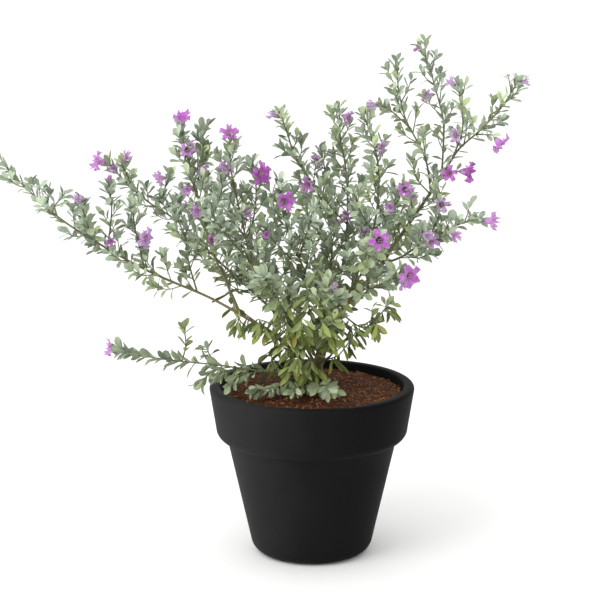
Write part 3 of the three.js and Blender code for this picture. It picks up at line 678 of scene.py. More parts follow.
def set_stops(ramp, *stops):
    """Gives a colour ramp its (place, linear colour) stops."""
    elements = ramp.color_ramp.elements
    while len(elements) < len(stops):
        elements.new(1)
    for element, (place, colour) in zip(elements, stops):
        element.position = place
        element.color = colour
    return ramp


def shaded(colour, factor):
    """A linear colour made lighter or darker."""
    return (*[min(1, part * factor) for part in colour[:3]], 1)


def moulded_polyethylene(settings):
    """Black injection-moulded polyethylene: a satin skin with a fine even grain and faint flow
    marks round the wall, rubbed by hands and soil. Its colour has painted light: it turns
    lighter grey on the side towards the softbox."""
    material, add, shader = new_material("moulded_polyethylene",
                                         {"Specular IOR Level": 0.05})
    place = add("ShaderNodeTexCoord").outputs["Object"]
    grain = add("ShaderNodeTexNoise", place,
                inputs={"Scale": 1 / settings.grain, "Detail": 3.0})
    # Flow marks are 160 mm long and 16 mm apart.
    stretched = add("ShaderNodeMapping", place, inputs={"Scale": (6, 6, 60)})
    flow = add("ShaderNodeTexNoise", stretched, inputs={"Scale": 1.0, "Detail": 4.0})
    rubbed = add("ShaderNodeTexNoise", place,
                 inputs={"Scale": 1 / (45 * MM), "Detail": 5.0, "Roughness": 0.6})
    # Painted light: the colour turns lighter grey towards -X, the side the softbox lights; the
    # rubbed noise on top is real wear.
    painted_light_side = add("ShaderNodeMapRange", add("ShaderNodeSeparateXYZ", place), inputs={
        "From Min": RIM_RADIUS * 0.8, "From Max": -RIM_RADIUS})
    uneven = add("ShaderNodeMath", rubbed, 0.3, painted_light_side, operation="MULTIPLY_ADD")
    join(set_stops(add("ShaderNodeValToRGB", uneven), (0.1, settings.colour[:]),
                   (0.6, settings.painted_half_lit[:]), (1.0, settings.painted_lit_side[:])),
         shader.inputs["Base Color"])
    join(add("ShaderNodeMapRange", rubbed, inputs={"To Min": 0.5, "To Max": 0.7}),
         shader.inputs["Roughness"])
    height = add("ShaderNodeMath", flow, 0.5, grain, operation="MULTIPLY_ADD")
    join(add("ShaderNodeBump", inputs={"Height": height, "Distance": 0.00006, "Strength": 0.5}),
         shader.inputs["Normal"])
    return material


def milled_coir(name, scale_mm, *colours):
    """Milled coconut husk: matt corky bits and fibres, from near black to orange brown. The
    attribute tint gives each bit its own place on that scale."""
    material, add, shader = new_material(
        name, {"Roughness": 0.92, "Specular IOR Level": 0.2})
    place = add("ShaderNodeTexCoord").outputs["Object"]
    cork = add("ShaderNodeTexNoise", place,
               inputs={"Scale": 1 / (scale_mm * MM), "Detail": 4.0, "Roughness": 0.65})
    tint = add("ShaderNodeAttribute", attribute_name="tint").outputs["Fac"]
    mixed = add("ShaderNodeMath", cork, 0.45, tint, operation="MULTIPLY_ADD")
    spread = [(0.15 + 0.95 * i / (len(colours) - 1), linear(c)) for i, c in enumerate(colours)]
    join(set_stops(add("ShaderNodeValToRGB", mixed), *[(min(1, p), c) for p, c in spread]),
         shader.inputs["Base Color"])
    join(add("ShaderNodeBump", inputs={"Height": cork, "Distance": 0.0006, "Strength": 0.7}),
         shader.inputs["Normal"])
    return material


def sage_bark():
    """Bark of a young shrub: brown and furrowed on old wood, and a smooth olive skin with grey
    felt on the year's growth. The attribute old_wood runs from 0 to 1."""
    material, add, shader = new_material(
        "sage_bark", {"Roughness": 0.82, "Specular IOR Level": 0.3})
    along = add("ShaderNodeUVMap", uv_map="UVMap")
    # Furrows are 8 mm apart round the wood and 110 mm long.
    stretched = add("ShaderNodeMapping", along, inputs={"Scale": (120.0, 9.0, 1.0)})
    furrows = add("ShaderNodeTexNoise", stretched, inputs={"Scale": 1.0, "Detail": 5.0})
    old = add("ShaderNodeAttribute", attribute_name="old_wood").outputs["Fac"]
    green = set_stops(add("ShaderNodeValToRGB", furrows), (0.3, linear("#4F573A")),
                      (0.7, linear("#828667")))
    brown = set_stops(add("ShaderNodeValToRGB", furrows), (0.3, linear("#4A3D2C")),
                      (0.5, linear("#7F6B4B")), (0.75, linear("#A8946C")))
    join(add("ShaderNodeMix", old, green, brown, data_type="RGBA"),
         shader.inputs["Base Color"])
    join(add("ShaderNodeBump", inputs={"Height": furrows, "Distance": 0.0005, "Strength": 0.6}),
         shader.inputs["Normal"])
    return material


def felted_leaf(settings):
    """A sage leaf: a thick blade under short silver hairs, which scatter light into a soft pale
    bloom. Young leaves are nearly white-green; old ones lose hair and show their green. The
    midrib is a fine pale groove. UVMap runs along the blade in u, and across it in v, from 0 to
    0.5 on the upper side and on to 1 on the under side."""
    material, add, shader = new_material(
        "felted_leaf", {"Roughness": 0.78, "Specular IOR Level": 0.25, "Sheen Weight": 0.15,
                        "Sheen Roughness": 0.5})
    young = add("ShaderNodeAttribute", attribute_name="young").outputs["Fac"]
    tint = add("ShaderNodeAttribute", attribute_name="tint").outputs["Fac"]
    blade = add("ShaderNodeSeparateXYZ", add("ShaderNodeUVMap", uv_map="UVMap")).outputs
    place = add("ShaderNodeTexCoord").outputs["Object"]
    # Hairs are finer than this: the mottling is as coarse as it needs to show.
    felt = add("ShaderNodeTexNoise", place, inputs={"Scale": 1 / (1.3 * MM), "Detail": 4.0})
    patch = add("ShaderNodeTexNoise", place, inputs={"Scale": 1 / (38 * MM), "Detail": 2.0})
    old_leaf = set_stops(add("ShaderNodeValToRGB", tint), (0.0, linear("#434F14")),
                         (0.55, settings.old[:]), (0.9, shaded(settings.old, 1.25)),
                         (1.0, linear("#9C8E48")))
    young_leaf = set_stops(add("ShaderNodeValToRGB", tint), (0.0, shaded(settings.young, 0.55)),
                           (0.5, settings.young[:]), (1.0, shaded(settings.young, 1.28)))
    body = add("ShaderNodeMix", young, old_leaf, young_leaf, data_type="RGBA")
    fine = add("ShaderNodeMapRange", felt, inputs={"To Min": 0.86, "To Max": 1.12})
    wide = add("ShaderNodeMapRange", patch, inputs={"To Min": 0.82, "To Max": 1.16})
    # Painted shade: the under side of each blade is painted 0.8 as bright as the upper side, as
    # if turned away from the light.
    under = add("ShaderNodeMapRange", blade["Y"],
                inputs={"From Min": 0.49, "From Max": 0.51, "To Min": 1.0, "To Max": 0.8})
    shade = add("ShaderNodeMath", fine, add("ShaderNodeMath", wide, under,
                                            operation="MULTIPLY"), operation="MULTIPLY")
    # In some patches the leaves turn yellower green, with less blue.
    less_blue = add("ShaderNodeMapRange", patch, inputs={
        "From Min": 0.47, "From Max": 0.7, "To Min": 1.02, "To Max": 0.7})
    blue = add("ShaderNodeMath", shade, less_blue, operation="MULTIPLY")
    cast = add("ShaderNodeCombineColor", shade, shade, blue)
    mottled = add("ShaderNodeMix", 1.0, body, cast, data_type="RGBA", blend_type="MULTIPLY")
    doubled = add("ShaderNodeMath", blade["Y"], 2.0, operation="MULTIPLY")
    across = add("ShaderNodeMath", doubled, 1.0, operation="PINGPONG")
    from_rib = add("ShaderNodeMath", add("ShaderNodeMath", across, 0.5, operation="SUBTRACT"),
                   operation="ABSOLUTE")
    rib = add("ShaderNodeMapRange", from_rib,
              inputs={"From Max": 0.07, "To Min": 0.45, "To Max": 0.0})
    join(add("ShaderNodeMix", rib, mottled, linear("#B9C4A0"), data_type="RGBA"),
         shader.inputs["Base Color"])
    join(add("ShaderNodeBump", inputs={"Height": felt, "Distance": 0.0003, "Strength": 0.35}),
         shader.inputs["Normal"])
    return material


def sage_petal(settings):
    """A fresh corolla: thin, softly satin tissue with fine veins that run out to the lobes, and
    a slightly paler throat with deep spots; that paler throat is partly painted light against
    the shade down the tube. UVMap runs from stalk to lobe edge in u, and round in v."""
    material, add, shader = new_material(
        "sage_petal", {"Roughness": 0.6, "Specular IOR Level": 0.3, "Sheen Weight": 0.15,
                       "Subsurface Weight": 0.35, "Subsurface Radius": (1.0, 0.5, 0.9),
                       "Subsurface Scale": 3 * MM})
    tint = add("ShaderNodeAttribute", attribute_name="tint").outputs["Fac"]
    uv = add("ShaderNodeUVMap", uv_map="UVMap")
    out = add("ShaderNodeSeparateXYZ", uv).outputs["X"]
    body = set_stops(add("ShaderNodeValToRGB", tint), (0.0, settings.pale[:]),
                     (0.55, settings.petal[:]), (0.8, linear("#A649B0")),
                     (1.0, linear("#8E2B94")))
    # Some seventy veins go round the bell.
    streaks = add("ShaderNodeMapping", uv, inputs={"Scale": (3.0, 70.0, 1.0)})
    veins = add("ShaderNodeTexNoise", streaks, inputs={"Scale": 1.0, "Detail": 3.0})
    vein = add("ShaderNodeMapRange", veins,
               inputs={"From Min": 0.52, "From Max": 0.72, "To Max": 0.4})
    veined = add("ShaderNodeMix", vein, body, linear("#8F3D98"), data_type="RGBA")
    # Partly painted light: the throat is mixed towards a paler pink, partly as its own colour and
    # partly to lighten the shade deep in the bell.
    throat = add("ShaderNodeMapRange", out,
                 inputs={"From Min": 0.5, "From Max": 0.3, "To Max": 0.8})
    pale = add("ShaderNodeMix", throat, veined, linear("#C98CCB"), data_type="RGBA")
    freckle_grid = add("ShaderNodeMapping", uv, inputs={"Scale": (26.0, 40.0, 1.0)})
    freckles = add("ShaderNodeTexVoronoi", freckle_grid, inputs={"Scale": 1.0})
    freckle = add("ShaderNodeMapRange", freckles,
                  inputs={"From Min": 0.3, "From Max": 0.2, "To Max": 0.6})
    in_throat = add("ShaderNodeMath", freckle, throat, operation="MULTIPLY")
    freckled = add("ShaderNodeMix", in_throat, pale, linear("#A55CA6"), data_type="RGBA")
    # Lobes are uneven: lighter in places, most of all at their edges.
    place = add("ShaderNodeTexCoord").outputs["Object"]
    blotch = add("ShaderNodeTexNoise", place, inputs={"Scale": 1 / (4 * MM), "Detail": 2.0})
    at_edge = add("ShaderNodeMath", out, 0.35, blotch, operation="MULTIPLY_ADD")
    lighter = add("ShaderNodeMapRange", at_edge, inputs={
        "From Min": 0.65, "From Max": 1.0, "To Max": 0.4})
    join(add("ShaderNodeMix", lighter, freckled, linear("#DDB4DE"), data_type="RGBA"),
         shader.inputs["Base Color"])
    join(add("ShaderNodeBump", inputs={"Height": veins, "Distance": 0.0003, "Strength": 0.4}),
         shader.inputs["Normal"])
    return material


def plain_finish(name, colour, roughness, mottle_mm):
    """A plain finish with slight mottling, for small organs and the floor."""
    material, add, shader = new_material(
        name, {"Roughness": roughness, "Specular IOR Level": 0.25})
    place = add("ShaderNodeTexCoord").outputs["Object"]
    mottle = add("ShaderNodeTexNoise", place,
                 inputs={"Scale": 1 / (mottle_mm * MM), "Detail": 2.0})
    join(set_stops(add("ShaderNodeValToRGB", mottle), (0.3, shaded(colour, 0.97)),
                   (0.7, colour)), shader.inputs["Base Color"])
    return material


# ---------------------------------------------------------------------------
# Twigs and leaves
# ---------------------------------------------------------------------------


def add_face(bm, corners, layer, uvs):
    """A face whose corners have the given places in a UV layer."""
    face = bm.faces.new(corners)
    for loop, uv in zip(face.loops, uvs):
        loop[layer].uv = uv


# Places along a leaf's blade, and half its width there against the widest half.
LEAF_OUTLINE = ((0.0, 0.1), (0.1, 0.14), (0.25, 0.45), (0.43, 0.8), (0.62, 1.0), (0.79, 0.87),
                (0.92, 0.48))
LEAF_HALF_WIDTH = 0.235  # of its length
LEAF_THICKNESS = 0.03  # of its length
LEAF_COLUMNS = 4


def leaf_shape(fold, curl, twist, wave):
    """A maker of one leaf a metre long, along +X with its upper face to +Z: folded along its
    midrib, curled along its length, twisted, and wavy at its edge. It is closed, and thickest
    at the midrib."""

    def point(share, half, across, sink):
        y = across * half * LEAF_HALF_WIDTH
        z = fold * abs(y) + curl * share**2 + wave * across * math.sin(9 * share) - sink
        turn = twist * share
        return (share, y * math.cos(turn) - z * math.sin(turn),
                y * math.sin(turn) + z * math.cos(turn))

    def make(name):
        bm = bmesh.new()
        layer = bm.loops.layers.uv.new("UVMap")
        half_columns = LEAF_COLUMNS // 2
        places = [i / half_columns for i in range(-half_columns, half_columns + 1)]
        rows = []
        for share, half in LEAF_OUTLINE:
            top = [bm.verts.new(point(share, half, across, 0)) for across in places]
            sink = LEAF_THICKNESS * (1.1 - share * 0.6)
            rows.append((share, top, bm.verts.new(point(share, half * 0.2, 0, sink))))
        step = 0.5 / LEAF_COLUMNS
        for (s, top, under), (s2, top2, under2) in zip(rows, rows[1:]):
            for i in range(LEAF_COLUMNS):
                v = i * step
                add_face(bm, (top[i], top2[i], top2[i + 1], top[i + 1]), layer,
                         ((s, v), (s2, v), (s2, v + step), (s, v + step)))
            add_face(bm, (top[-1], top2[-1], under2, under), layer,
                     ((s, 1), (s2, 1), (s2, 0.75), (s, 0.75)))
            add_face(bm, (under, under2, top2[0], top[0]), layer,
                     ((s, 0.75), (s2, 0.75), (s2, 0.5), (s, 0.5)))
        tip = bm.verts.new(point(1, 0, 0, 0))
        s, top, under = rows[-1]
        for i in range(LEAF_COLUMNS):
            v = i * step
            add_face(bm, (top[i], tip, top[i + 1]), layer, ((s, v), (1, v), (s, v + step)))
        add_face(bm, (top[-1], tip, under), layer, ((s, 1), (1, 0.87), (s, 0.75)))
        add_face(bm, (under, tip, top[0]), layer, ((s, 0.75), (1, 0.62), (s, 0.5)))
        s, top, under = rows[0]
        add_face(bm, (*top, under), layer, [(0, 0.01 * i) for i in range(len(top) + 1)])
        for edge in bm.edges:
            sides = {round(sum(loop[layer].uv.y > 0.499 for loop in face.loops) / 2)
                     for face in edge.link_faces}
            edge.smooth = len(sides) < 2
        return object_from(bm, name)

    return make


LEAF_SHAPES = (
    leaf_shape(0.45, 0.1, 0.1, 0.0),
    leaf_shape(0.3, -0.12, -0.25, 0.012),
    leaf_shape(0.55, 0.02, 0.35, -0.015),
    leaf_shape(0.2, -0.22, 0.15, 0.02),
    leaf_shape(0.4, 0.2, -0.1, 0.01),
)


def ring_faces(bm, rings):
    """Faces between closed rings of as many points each."""
    faces = []
    for a, b in zip(rings, rings[1:]):
        for k in range(len(a)):
            j = (k + 1) % len(a)
            faces.append(bm.faces.new((a[k], a[j], b[j], b[k])))
    return faces


def add_tube(bm, twig, sides, strip, wood, knobs):
    """A closed tapered tube along a twig. strip is its (low, high) band in the bake map, wood
    its old wood at foot and tip, and knobs how much it swells at its buds."""
    old_wood = bm.verts.layers.float.get("old_wood") or bm.verts.layers.float.new("old_wood")
    uv = bm.loops.layers.uv.get("UVMap") or bm.loops.layers.uv.new("UVMap")
    bake = bm.loops.layers.uv.get(BAKE_MAP) or bm.loops.layers.uv.new(BAKE_MAP)
    line = twig.line
    whole = line_length(line)
    side = (line[1] - line[0]).orthogonal().normalized()
    rings = []
    gone = 0
    for i, point in enumerate(line):
        ahead = (line[min(i + 1, len(line) - 1)] - line[max(i - 1, 0)]).normalized()
        side = (side - ahead * side.dot(ahead)).normalized()
        other = ahead.cross(side)
        if i:
            gone += (point - line[i - 1]).length
        share = gone / whole
        swell = 1 + knobs * (i % 3 == 1)
        radius = (twig.foot_radius + (twig.tip_radius - twig.foot_radius) * share**0.4) * swell
        ring = []
        for k in range(sides):
            turn = 2 * math.pi * k / sides
            uneven = 1 + knobs * 0.7 * math.sin(3 * turn + 40 * share)
            out = (side * math.cos(turn) + other * math.sin(turn)) * radius * uneven
            vert = bm.verts.new(point + out)
            vert[old_wood] = wood[0] + (wood[1] - wood[0]) * share
            ring.append(vert)
        rings.append((ring, gone, 2 * math.pi * radius / sides, share))
    low, high = strip
    for a, b in zip(rings, rings[1:]):
        for k in range(sides):
            corners = ((a, k), (a, k + 1), (b, k + 1), (b, k))
            face = bm.faces.new([ring[0][step % sides] for ring, step in corners])
            for loop, ((_, gone, width, share), step) in zip(face.loops, corners):
                loop[uv].uv = (width * step, gone)
                loop[bake].uv = (share, low + (high - low) * step / sides)
    for ring, _, _, share in (rings[0], rings[-1]):
        for loop in bm.faces.new(ring).loops:
            loop[bake].uv = (share, low)


LEAF_MARKS = ("bare", "size", "youth", "gap", "droop")


def shoot_lines(twigs):
    """An object with one chain of edges for each twig, marked with how its leaves grow."""
    bm = bmesh.new()
    layers = [bm.verts.layers.float.new(mark) for mark in LEAF_MARKS]
    for twig in twigs:
        last = None
        for point in twig.line:
            vert = bm.verts.new(point)
            for layer, value in zip(layers, KINDS[twig.kind]):
                vert[layer] = value
            if last:
                bm.edges.new((last, vert))
            last = vert
    return object_from(bm, "shoot_lines")


def draw_chances(add, seed, ranges):
    """Random values for each point, one in each (least, most) range, with seeds of their own."""
    chances = []
    for i, (least, most) in enumerate(ranges):
        own_seed = add("ShaderNodeMath", seed, 100.0 * i, operation="ADD")
        chances.append(add("FunctionNodeRandomValue", data_type="FLOAT",
                           inputs={"Min": least, "Max": most, "Seed": own_seed}))
    return chances


def stand_copies(add, points, component, shapes, uv_name, marks, how):
    """Stands a shape of a collection on each point. how sets which, its rotation and its scale,
    and marks are attributes that the copies carry. Each copy gets a cell of its own in the bake
    map, which its UV map of the given name fills."""
    for name, value in {**marks, "cell": add("GeometryNodeInputIndex")}.items():
        points = add("GeometryNodeStoreNamedAttribute", points, data_type="FLOAT",
                     inputs={"Name": name, "Value": value})
    count = add("GeometryNodeAttributeDomainSize", points, component=component)
    apart = add("GeometryNodeCollectionInfo", shapes,
                inputs={"Separate Children": True, "Reset Children": True})
    copies = add("GeometryNodeRealizeInstances", add(
        "GeometryNodeInstanceOnPoints", points,
        inputs={"Instance": apart, "Pick Instance": True, **how}))
    side = add("ShaderNodeMath", add("ShaderNodeMath", count, operation="SQRT"),
               operation="CEIL")
    cell = add("GeometryNodeInputNamedAttribute", "cell", data_type="FLOAT")
    column = add("ShaderNodeMath", cell, side, operation="FLOORED_MODULO")
    row = add("ShaderNodeMath", add("ShaderNodeMath", cell, side, operation="DIVIDE"),
              operation="FLOOR")
    corner = add("ShaderNodeCombineXYZ", column, row)
    own = add("GeometryNodeInputNamedAttribute", uv_name, data_type="FLOAT_VECTOR")
    inner = 1 - 2 * CELL_MARGIN
    inset = add("ShaderNodeVectorMath", own, (inner, inner, 0), (CELL_MARGIN, CELL_MARGIN, 0),
                operation="MULTIPLY_ADD")
    placed = add("ShaderNodeVectorMath", inset, corner, operation="ADD")
    scale = add("ShaderNodeMath", 1.0, side, operation="DIVIDE")
    fitted = add("ShaderNodeVectorMath", placed, inputs={"Scale": scale}, operation="SCALE")
    lowered = add("ShaderNodeVectorMath", fitted, (1, CELLS_SHARE, 0), operation="MULTIPLY")
    return add("GeometryNodeStoreNamedAttribute", copies,
               inputs={"Name": BAKE_MAP, "Value": lowered}, data_type="FLOAT2",
               domain="CORNER")


LEAF_CLEARANCE = 1 * MM  # from the pot's rim
REST_HEIGHT = 0.8 * MM  # of a pressed leaf over the soil
PRESSED = 0.08  # of a leaf's reach below that is left


def rest_on_pot(add, leaves):
    """Presses leaves flat where they would reach into the soil or the pot's rim."""
    place = add("GeometryNodeInputPosition")
    parts = add("ShaderNodeSeparateXYZ", place).outputs
    flat = add("ShaderNodeVectorMath", place, (1, 1, 0), operation="MULTIPLY")
    radius = add("ShaderNodeVectorMath", flat, operation="LENGTH")
    over_wall = add("ShaderNodeMath", radius, SOIL_RADIUS - LEAF_CLEARANCE,
                    operation="GREATER_THAN")
    floor = add("ShaderNodeMath", over_wall, POT_TOP - SOIL_TOP, SOIL_TOP + REST_HEIGHT,
                operation="MULTIPLY_ADD")
    over_pot = add("ShaderNodeMath", radius, RIM_RADIUS + LEAF_CLEARANCE,
                   operation="LESS_THAN")
    below = add("ShaderNodeMath", parts["Z"], floor, operation="LESS_THAN")
    pressed = add("ShaderNodeMath", over_pot, below, operation="MULTIPLY")
    depth = add("ShaderNodeMath", parts["Z"], floor, operation="SUBTRACT")
    height = add("ShaderNodeMath", depth, PRESSED, floor, operation="MULTIPLY_ADD")
    placed = add("ShaderNodeCombineXYZ", parts["X"], parts["Y"], height)
    return add("GeometryNodeSetPosition", leaves,
               inputs={"Selection": pressed, "Position": placed})


# The least and most of what chance gives a leaf: whether it is left out, its lean, turn and
# roll in radians, its size, youth and tint.
LEAF_CHANCES = ((0, 1), (-0.25, 0.3), (-0.35, 0.35), (-0.45, 0.45), (0.78, 1.14),
                (-0.16, 0.16), (0, 1))
CROWDING = 1.6  # how fast leaves close up and rise towards the tip
LIGHT_PULL = 0.45  # how far a blade turns its upper side to the sky
GREEN_HEIGHT = 30 * MM  # over the pot's top: leaves below are old and green, darker partly as painted shade
SILVER_HEIGHT = 170 * MM  # leaves above are as silvery as their twig's kind
LEAST_SILVER = 0.26
TIP_GROWTH = -0.12  # change in size, from a twig's foot to its tip
TIP_YOUTH = 0.35  # change in youth
OWN_YOUTH = 0.85  # of its kind's youth, in each leaf
HANGING_SLIM = -0.3  # change in width for a leaf that hangs
THINNEST_GAP = 0.8  # twigs with this gap or less keep every leaf


def leafy_tree():
    """Geometry Nodes that clothe shoot lines with leaves in a spiral, closer and steeper
    towards the tip, and join them to the bark."""
    add, given, end = new_tree("leafy_shoots", (
        ("Bark", "NodeSocketGeometry"), ("Shoot lines", "NodeSocketObject"),
        ("Leaf shapes", "NodeSocketCollection"), ("Leaf length", "NodeSocketFloat"),
        ("Leaf spacing", "NodeSocketFloat"), ("Lean at foot", "NodeSocketFloat"),
        ("Lean at tip", "NodeSocketFloat"), ("Seed", "NodeSocketInt"),
        ("Leaf finish", "NodeSocketMaterial")))
    share, bare, size, youth, gap, droop = (
        add("GeometryNodeInputNamedAttribute", name, data_type="FLOAT")
        for name in ("share", *LEAF_MARKS))
    left_out, more_lean, more_turn, roll, growth, more_youth, tint = draw_chances(
        add, given["Seed"], LEAF_CHANCES)
    lines = add("GeometryNodeObjectInfo", given["Shoot lines"]).outputs["Geometry"]
    numbered = add("GeometryNodeCaptureAttribute", add("GeometryNodeMeshToCurve", lines),
                   domain="CURVE")
    numbered.capture_items.new("INT", "number")
    join(add("GeometryNodeInputIndex"), numbered.inputs[1])
    measured = add("GeometryNodeCaptureAttribute", numbered, domain="POINT")
    measured.capture_items.new("FLOAT", "factor")
    join(add("GeometryNodeSplineParameter").outputs["Factor"], measured.inputs[1])
    points = add("GeometryNodeCurveToPoints", measured, mode="LENGTH",
                 inputs={"Length": given["Leaf spacing"]})
    # Leaves crowd towards the tip: the share of the way that is left is raised to a power.
    left = add("ShaderNodeMath", 1.0, measured.outputs[1], operation="SUBTRACT")
    crowded = add("ShaderNodeMath", 1.0, add("ShaderNodeMath", left, CROWDING, operation="POWER"),
                  operation="SUBTRACT")
    marked = add("GeometryNodeStoreNamedAttribute", points, data_type="FLOAT",
                 inputs={"Name": "share", "Value": crowded})
    # The wider a twig's gap, the more of its leaves are left out.
    is_bare = add("ShaderNodeMath", share, bare, operation="LESS_THAN")
    wider = add("ShaderNodeMath", gap, THINNEST_GAP, operation="SUBTRACT")
    thinned = add("ShaderNodeMath", left_out, wider, operation="LESS_THAN")
    kept = add("GeometryNodeDeleteGeometry", marked, domain="POINT", inputs={
        "Selection": add("ShaderNodeMath", is_bare, thinned, operation="MAXIMUM")})
    on_line = add("GeometryNodeSampleCurve", measured, mode="FACTOR", inputs={
        "Factor": share, "Curve Index": numbered.outputs[1]}).outputs
    moved = add("GeometryNodeSetPosition", kept, inputs={"Position": on_line["Position"]})
    steep = add("ShaderNodeMath", share, CROWDING, operation="POWER")
    lean = add("ShaderNodeMath", add("ShaderNodeMix", steep, given["Lean at foot"],
                                     given["Lean at tip"]), more_lean, operation="ADD")
    pitch = add("ShaderNodeMath", lean, math.pi / 2, operation="SUBTRACT")
    turn = add("ShaderNodeMath", add("GeometryNodeInputIndex"), GOLDEN_TURN, more_turn,
               operation="MULTIPLY_ADD")
    own_turn = add("FunctionNodeEulerToRotation", add("ShaderNodeCombineXYZ", roll, pitch, turn))
    along = add("FunctionNodeAxesToRotation", on_line["Tangent"], on_line["Normal"],
                primary_axis="Z", secondary_axis="X")
    grown = add("FunctionNodeRotateRotation", along, own_turn, rotation_space="LOCAL")
    # Heavy leaves hang, and every blade turns its upper side to the light.
    sag = add("ShaderNodeMath", droop, -1.0, operation="MULTIPLY")
    blade = add("ShaderNodeVectorMath", add("FunctionNodeRotateVector", (1, 0, 0), grown),
                add("ShaderNodeCombineXYZ", 0.0, 0.0, sag), operation="ADD")
    upper = add("ShaderNodeVectorMath", add("FunctionNodeRotateVector", (0, 0, 1), grown),
                (0, 0, LIGHT_PULL), operation="ADD")
    turned = add("FunctionNodeAxesToRotation", blade, upper, primary_axis="X",
                 secondary_axis="Z")
    smaller = add("ShaderNodeMath", steep, TIP_GROWTH, 1.0, operation="MULTIPLY_ADD")
    for factor in (size, growth, given["Leaf length"]):
        smaller = add("ShaderNodeMath", smaller, factor, operation="MULTIPLY")
    slim = add("ShaderNodeMath", droop, HANGING_SLIM, 1.0, operation="MULTIPLY_ADD")
    width = add("ShaderNodeMath", smaller, slim, operation="MULTIPLY")
    scale = add("ShaderNodeCombineXYZ", smaller, width, smaller)
    younger = add("ShaderNodeMath", steep, TIP_YOUTH, more_youth, operation="MULTIPLY_ADD")
    silver = add("ShaderNodeMath", youth, OWN_YOUTH, younger, operation="MULTIPLY_ADD")
    # Low in the bush the leaves are older, greener and darker: partly the base's old leaves,
    # partly painted shade under the crown.
    height = add("ShaderNodeSeparateXYZ", add("GeometryNodeInputPosition")).outputs["Z"]
    silver = add("ShaderNodeMath", silver, add("ShaderNodeMapRange", height, inputs={
        "From Min": POT_TOP + GREEN_HEIGHT, "From Max": POT_TOP + SILVER_HEIGHT,
        "To Min": LEAST_SILVER}),
        operation="MULTIPLY", use_clamp=True)
    pick = add("FunctionNodeRandomValue", data_type="INT",
               inputs={"Min": 0, "Max": len(LEAF_SHAPES) - 1, "Seed": given["Seed"]})
    leaves = stand_copies(add, moved, "POINTCLOUD", given["Leaf shapes"], "UVMap",
                          {"young": silver, "tint": tint},
                          {"Instance Index": pick, "Rotation": turned, "Scale": scale})
    finished = add("GeometryNodeSetMaterial", rest_on_pot(add, leaves),
                   inputs={"Material": given["Leaf finish"]})
    both = add("GeometryNodeJoinGeometry", finished)
    join(given["Bark"], both.inputs[0])
    join(both, end.inputs[0])
    return end.id_data


TRUNK_SIDES = 22
STEM_SIDES = 9
SHOOT_SIDES = 6
TRUNK_KNOBS = 0.09
TWIG_KNOBS = 0.06
STRIP_SHARE = 0.8  # of a twig's strip in the bake map that it fills
# How brown the feet of stems are, by kind; those of shoots and sprigs are SHOOT_WOOD.
FOOT_WOOD = {"stem": 0.4, "long_stem": 0.8, "bare_stem": 0.8}
SHOOT_WOOD = 0.1


def make_twigs(foliage):
    """Each stem or shoot of the CAD model as one piece: its bark, its side sprigs and leaves."""
    plant = plan_plant(foliage.seed, foliage.sprig)
    leaf_shapes = asset_collection("leaf", LEAF_SHAPES)
    tree = leafy_tree()
    bark, leaf = sage_bark(), felted_leaf(foliage)
    for number, name in enumerate(TWIGS):
        members = [twig for twig in plant.values() if twig.node == name]
        strip = (1 - CELLS_SHARE - STRIP_GAP) / len(members)
        bm = bmesh.new()
        for i, twig in enumerate(members):
            low = CELLS_SHARE + STRIP_GAP + i * strip
            sides = STEM_SIDES if twig.kind in FOOT_WOOD else SHOOT_SIDES
            add_tube(bm, twig, sides, (low, low + strip * STRIP_SHARE),
                     (FOOT_WOOD.get(twig.kind, SHOOT_WOOD), 0.0), TWIG_KNOBS)
        lines = shoot_lines(members)
        piece = run_tree(object_from(bm, "bark_line", bark), tree, {
            "Shoot lines": lines, "Leaf shapes": leaf_shapes,
            "Leaf length": foliage.leaf_length, "Leaf spacing": foliage.leaf_spacing,
            "Lean at foot": foliage.lean_at_foot, "Lean at tip": foliage.lean_at_tip,
            "Seed": foliage.seed + number, "Leaf finish": leaf}, f"{name}_leafy")
        discard(lines)
        keep(piece, "foliage", name)
    discard_collection(leaf_shapes)
    bm = bmesh.new()
    add_tube(bm, plant["trunk"], TRUNK_SIDES, (0.02, 0.98), (1.0, 0.9), TRUNK_KNOBS)
    keep(object_from(bm, "trunk_wood", bark), "bark", "trunk")


# ---------------------------------------------------------------------------
# Flowers
# ---------------------------------------------------------------------------

LOBES = 5
LOBE_COLUMNS = 7
BELL = ((0.0, 0.06, 0.2), (0.12, 0.19, 0.33), (0.24, 0.3, 0.48), (0.36, 0.34, 0.62),
        (0.5, 0.36, 0.74))  # share of the way out, radius against the spread, height
PETAL_THICKNESS = 0.22 * MM
PETAL_CELL = 0.8  # share of a flower's cell in the bake map; stalk and stamens have the rest
LOBE_SHARES = (0.62, 0.74, 0.87, 1.0)
# Radius between and at the teeth in millimetres, and height there against the flower's length.
CALYX_RINGS = ((0.5, 0.5, 0.17, 0.17), (1.8, 1.8, 0.26, 0.26), (2.3, 3.2, 0.28, 0.38))
CALYX_THICKNESS = 0.3 * MM
STAMENS = 4
FILAMENT_RADIUS = 0.16 * MM
ANTHER_RADII = (0.2 * MM, 0.55 * MM, 0.2 * MM)


def round_point(radius, turn, z):
    return Vector((radius * math.cos(turn), radius * math.sin(turn), z))


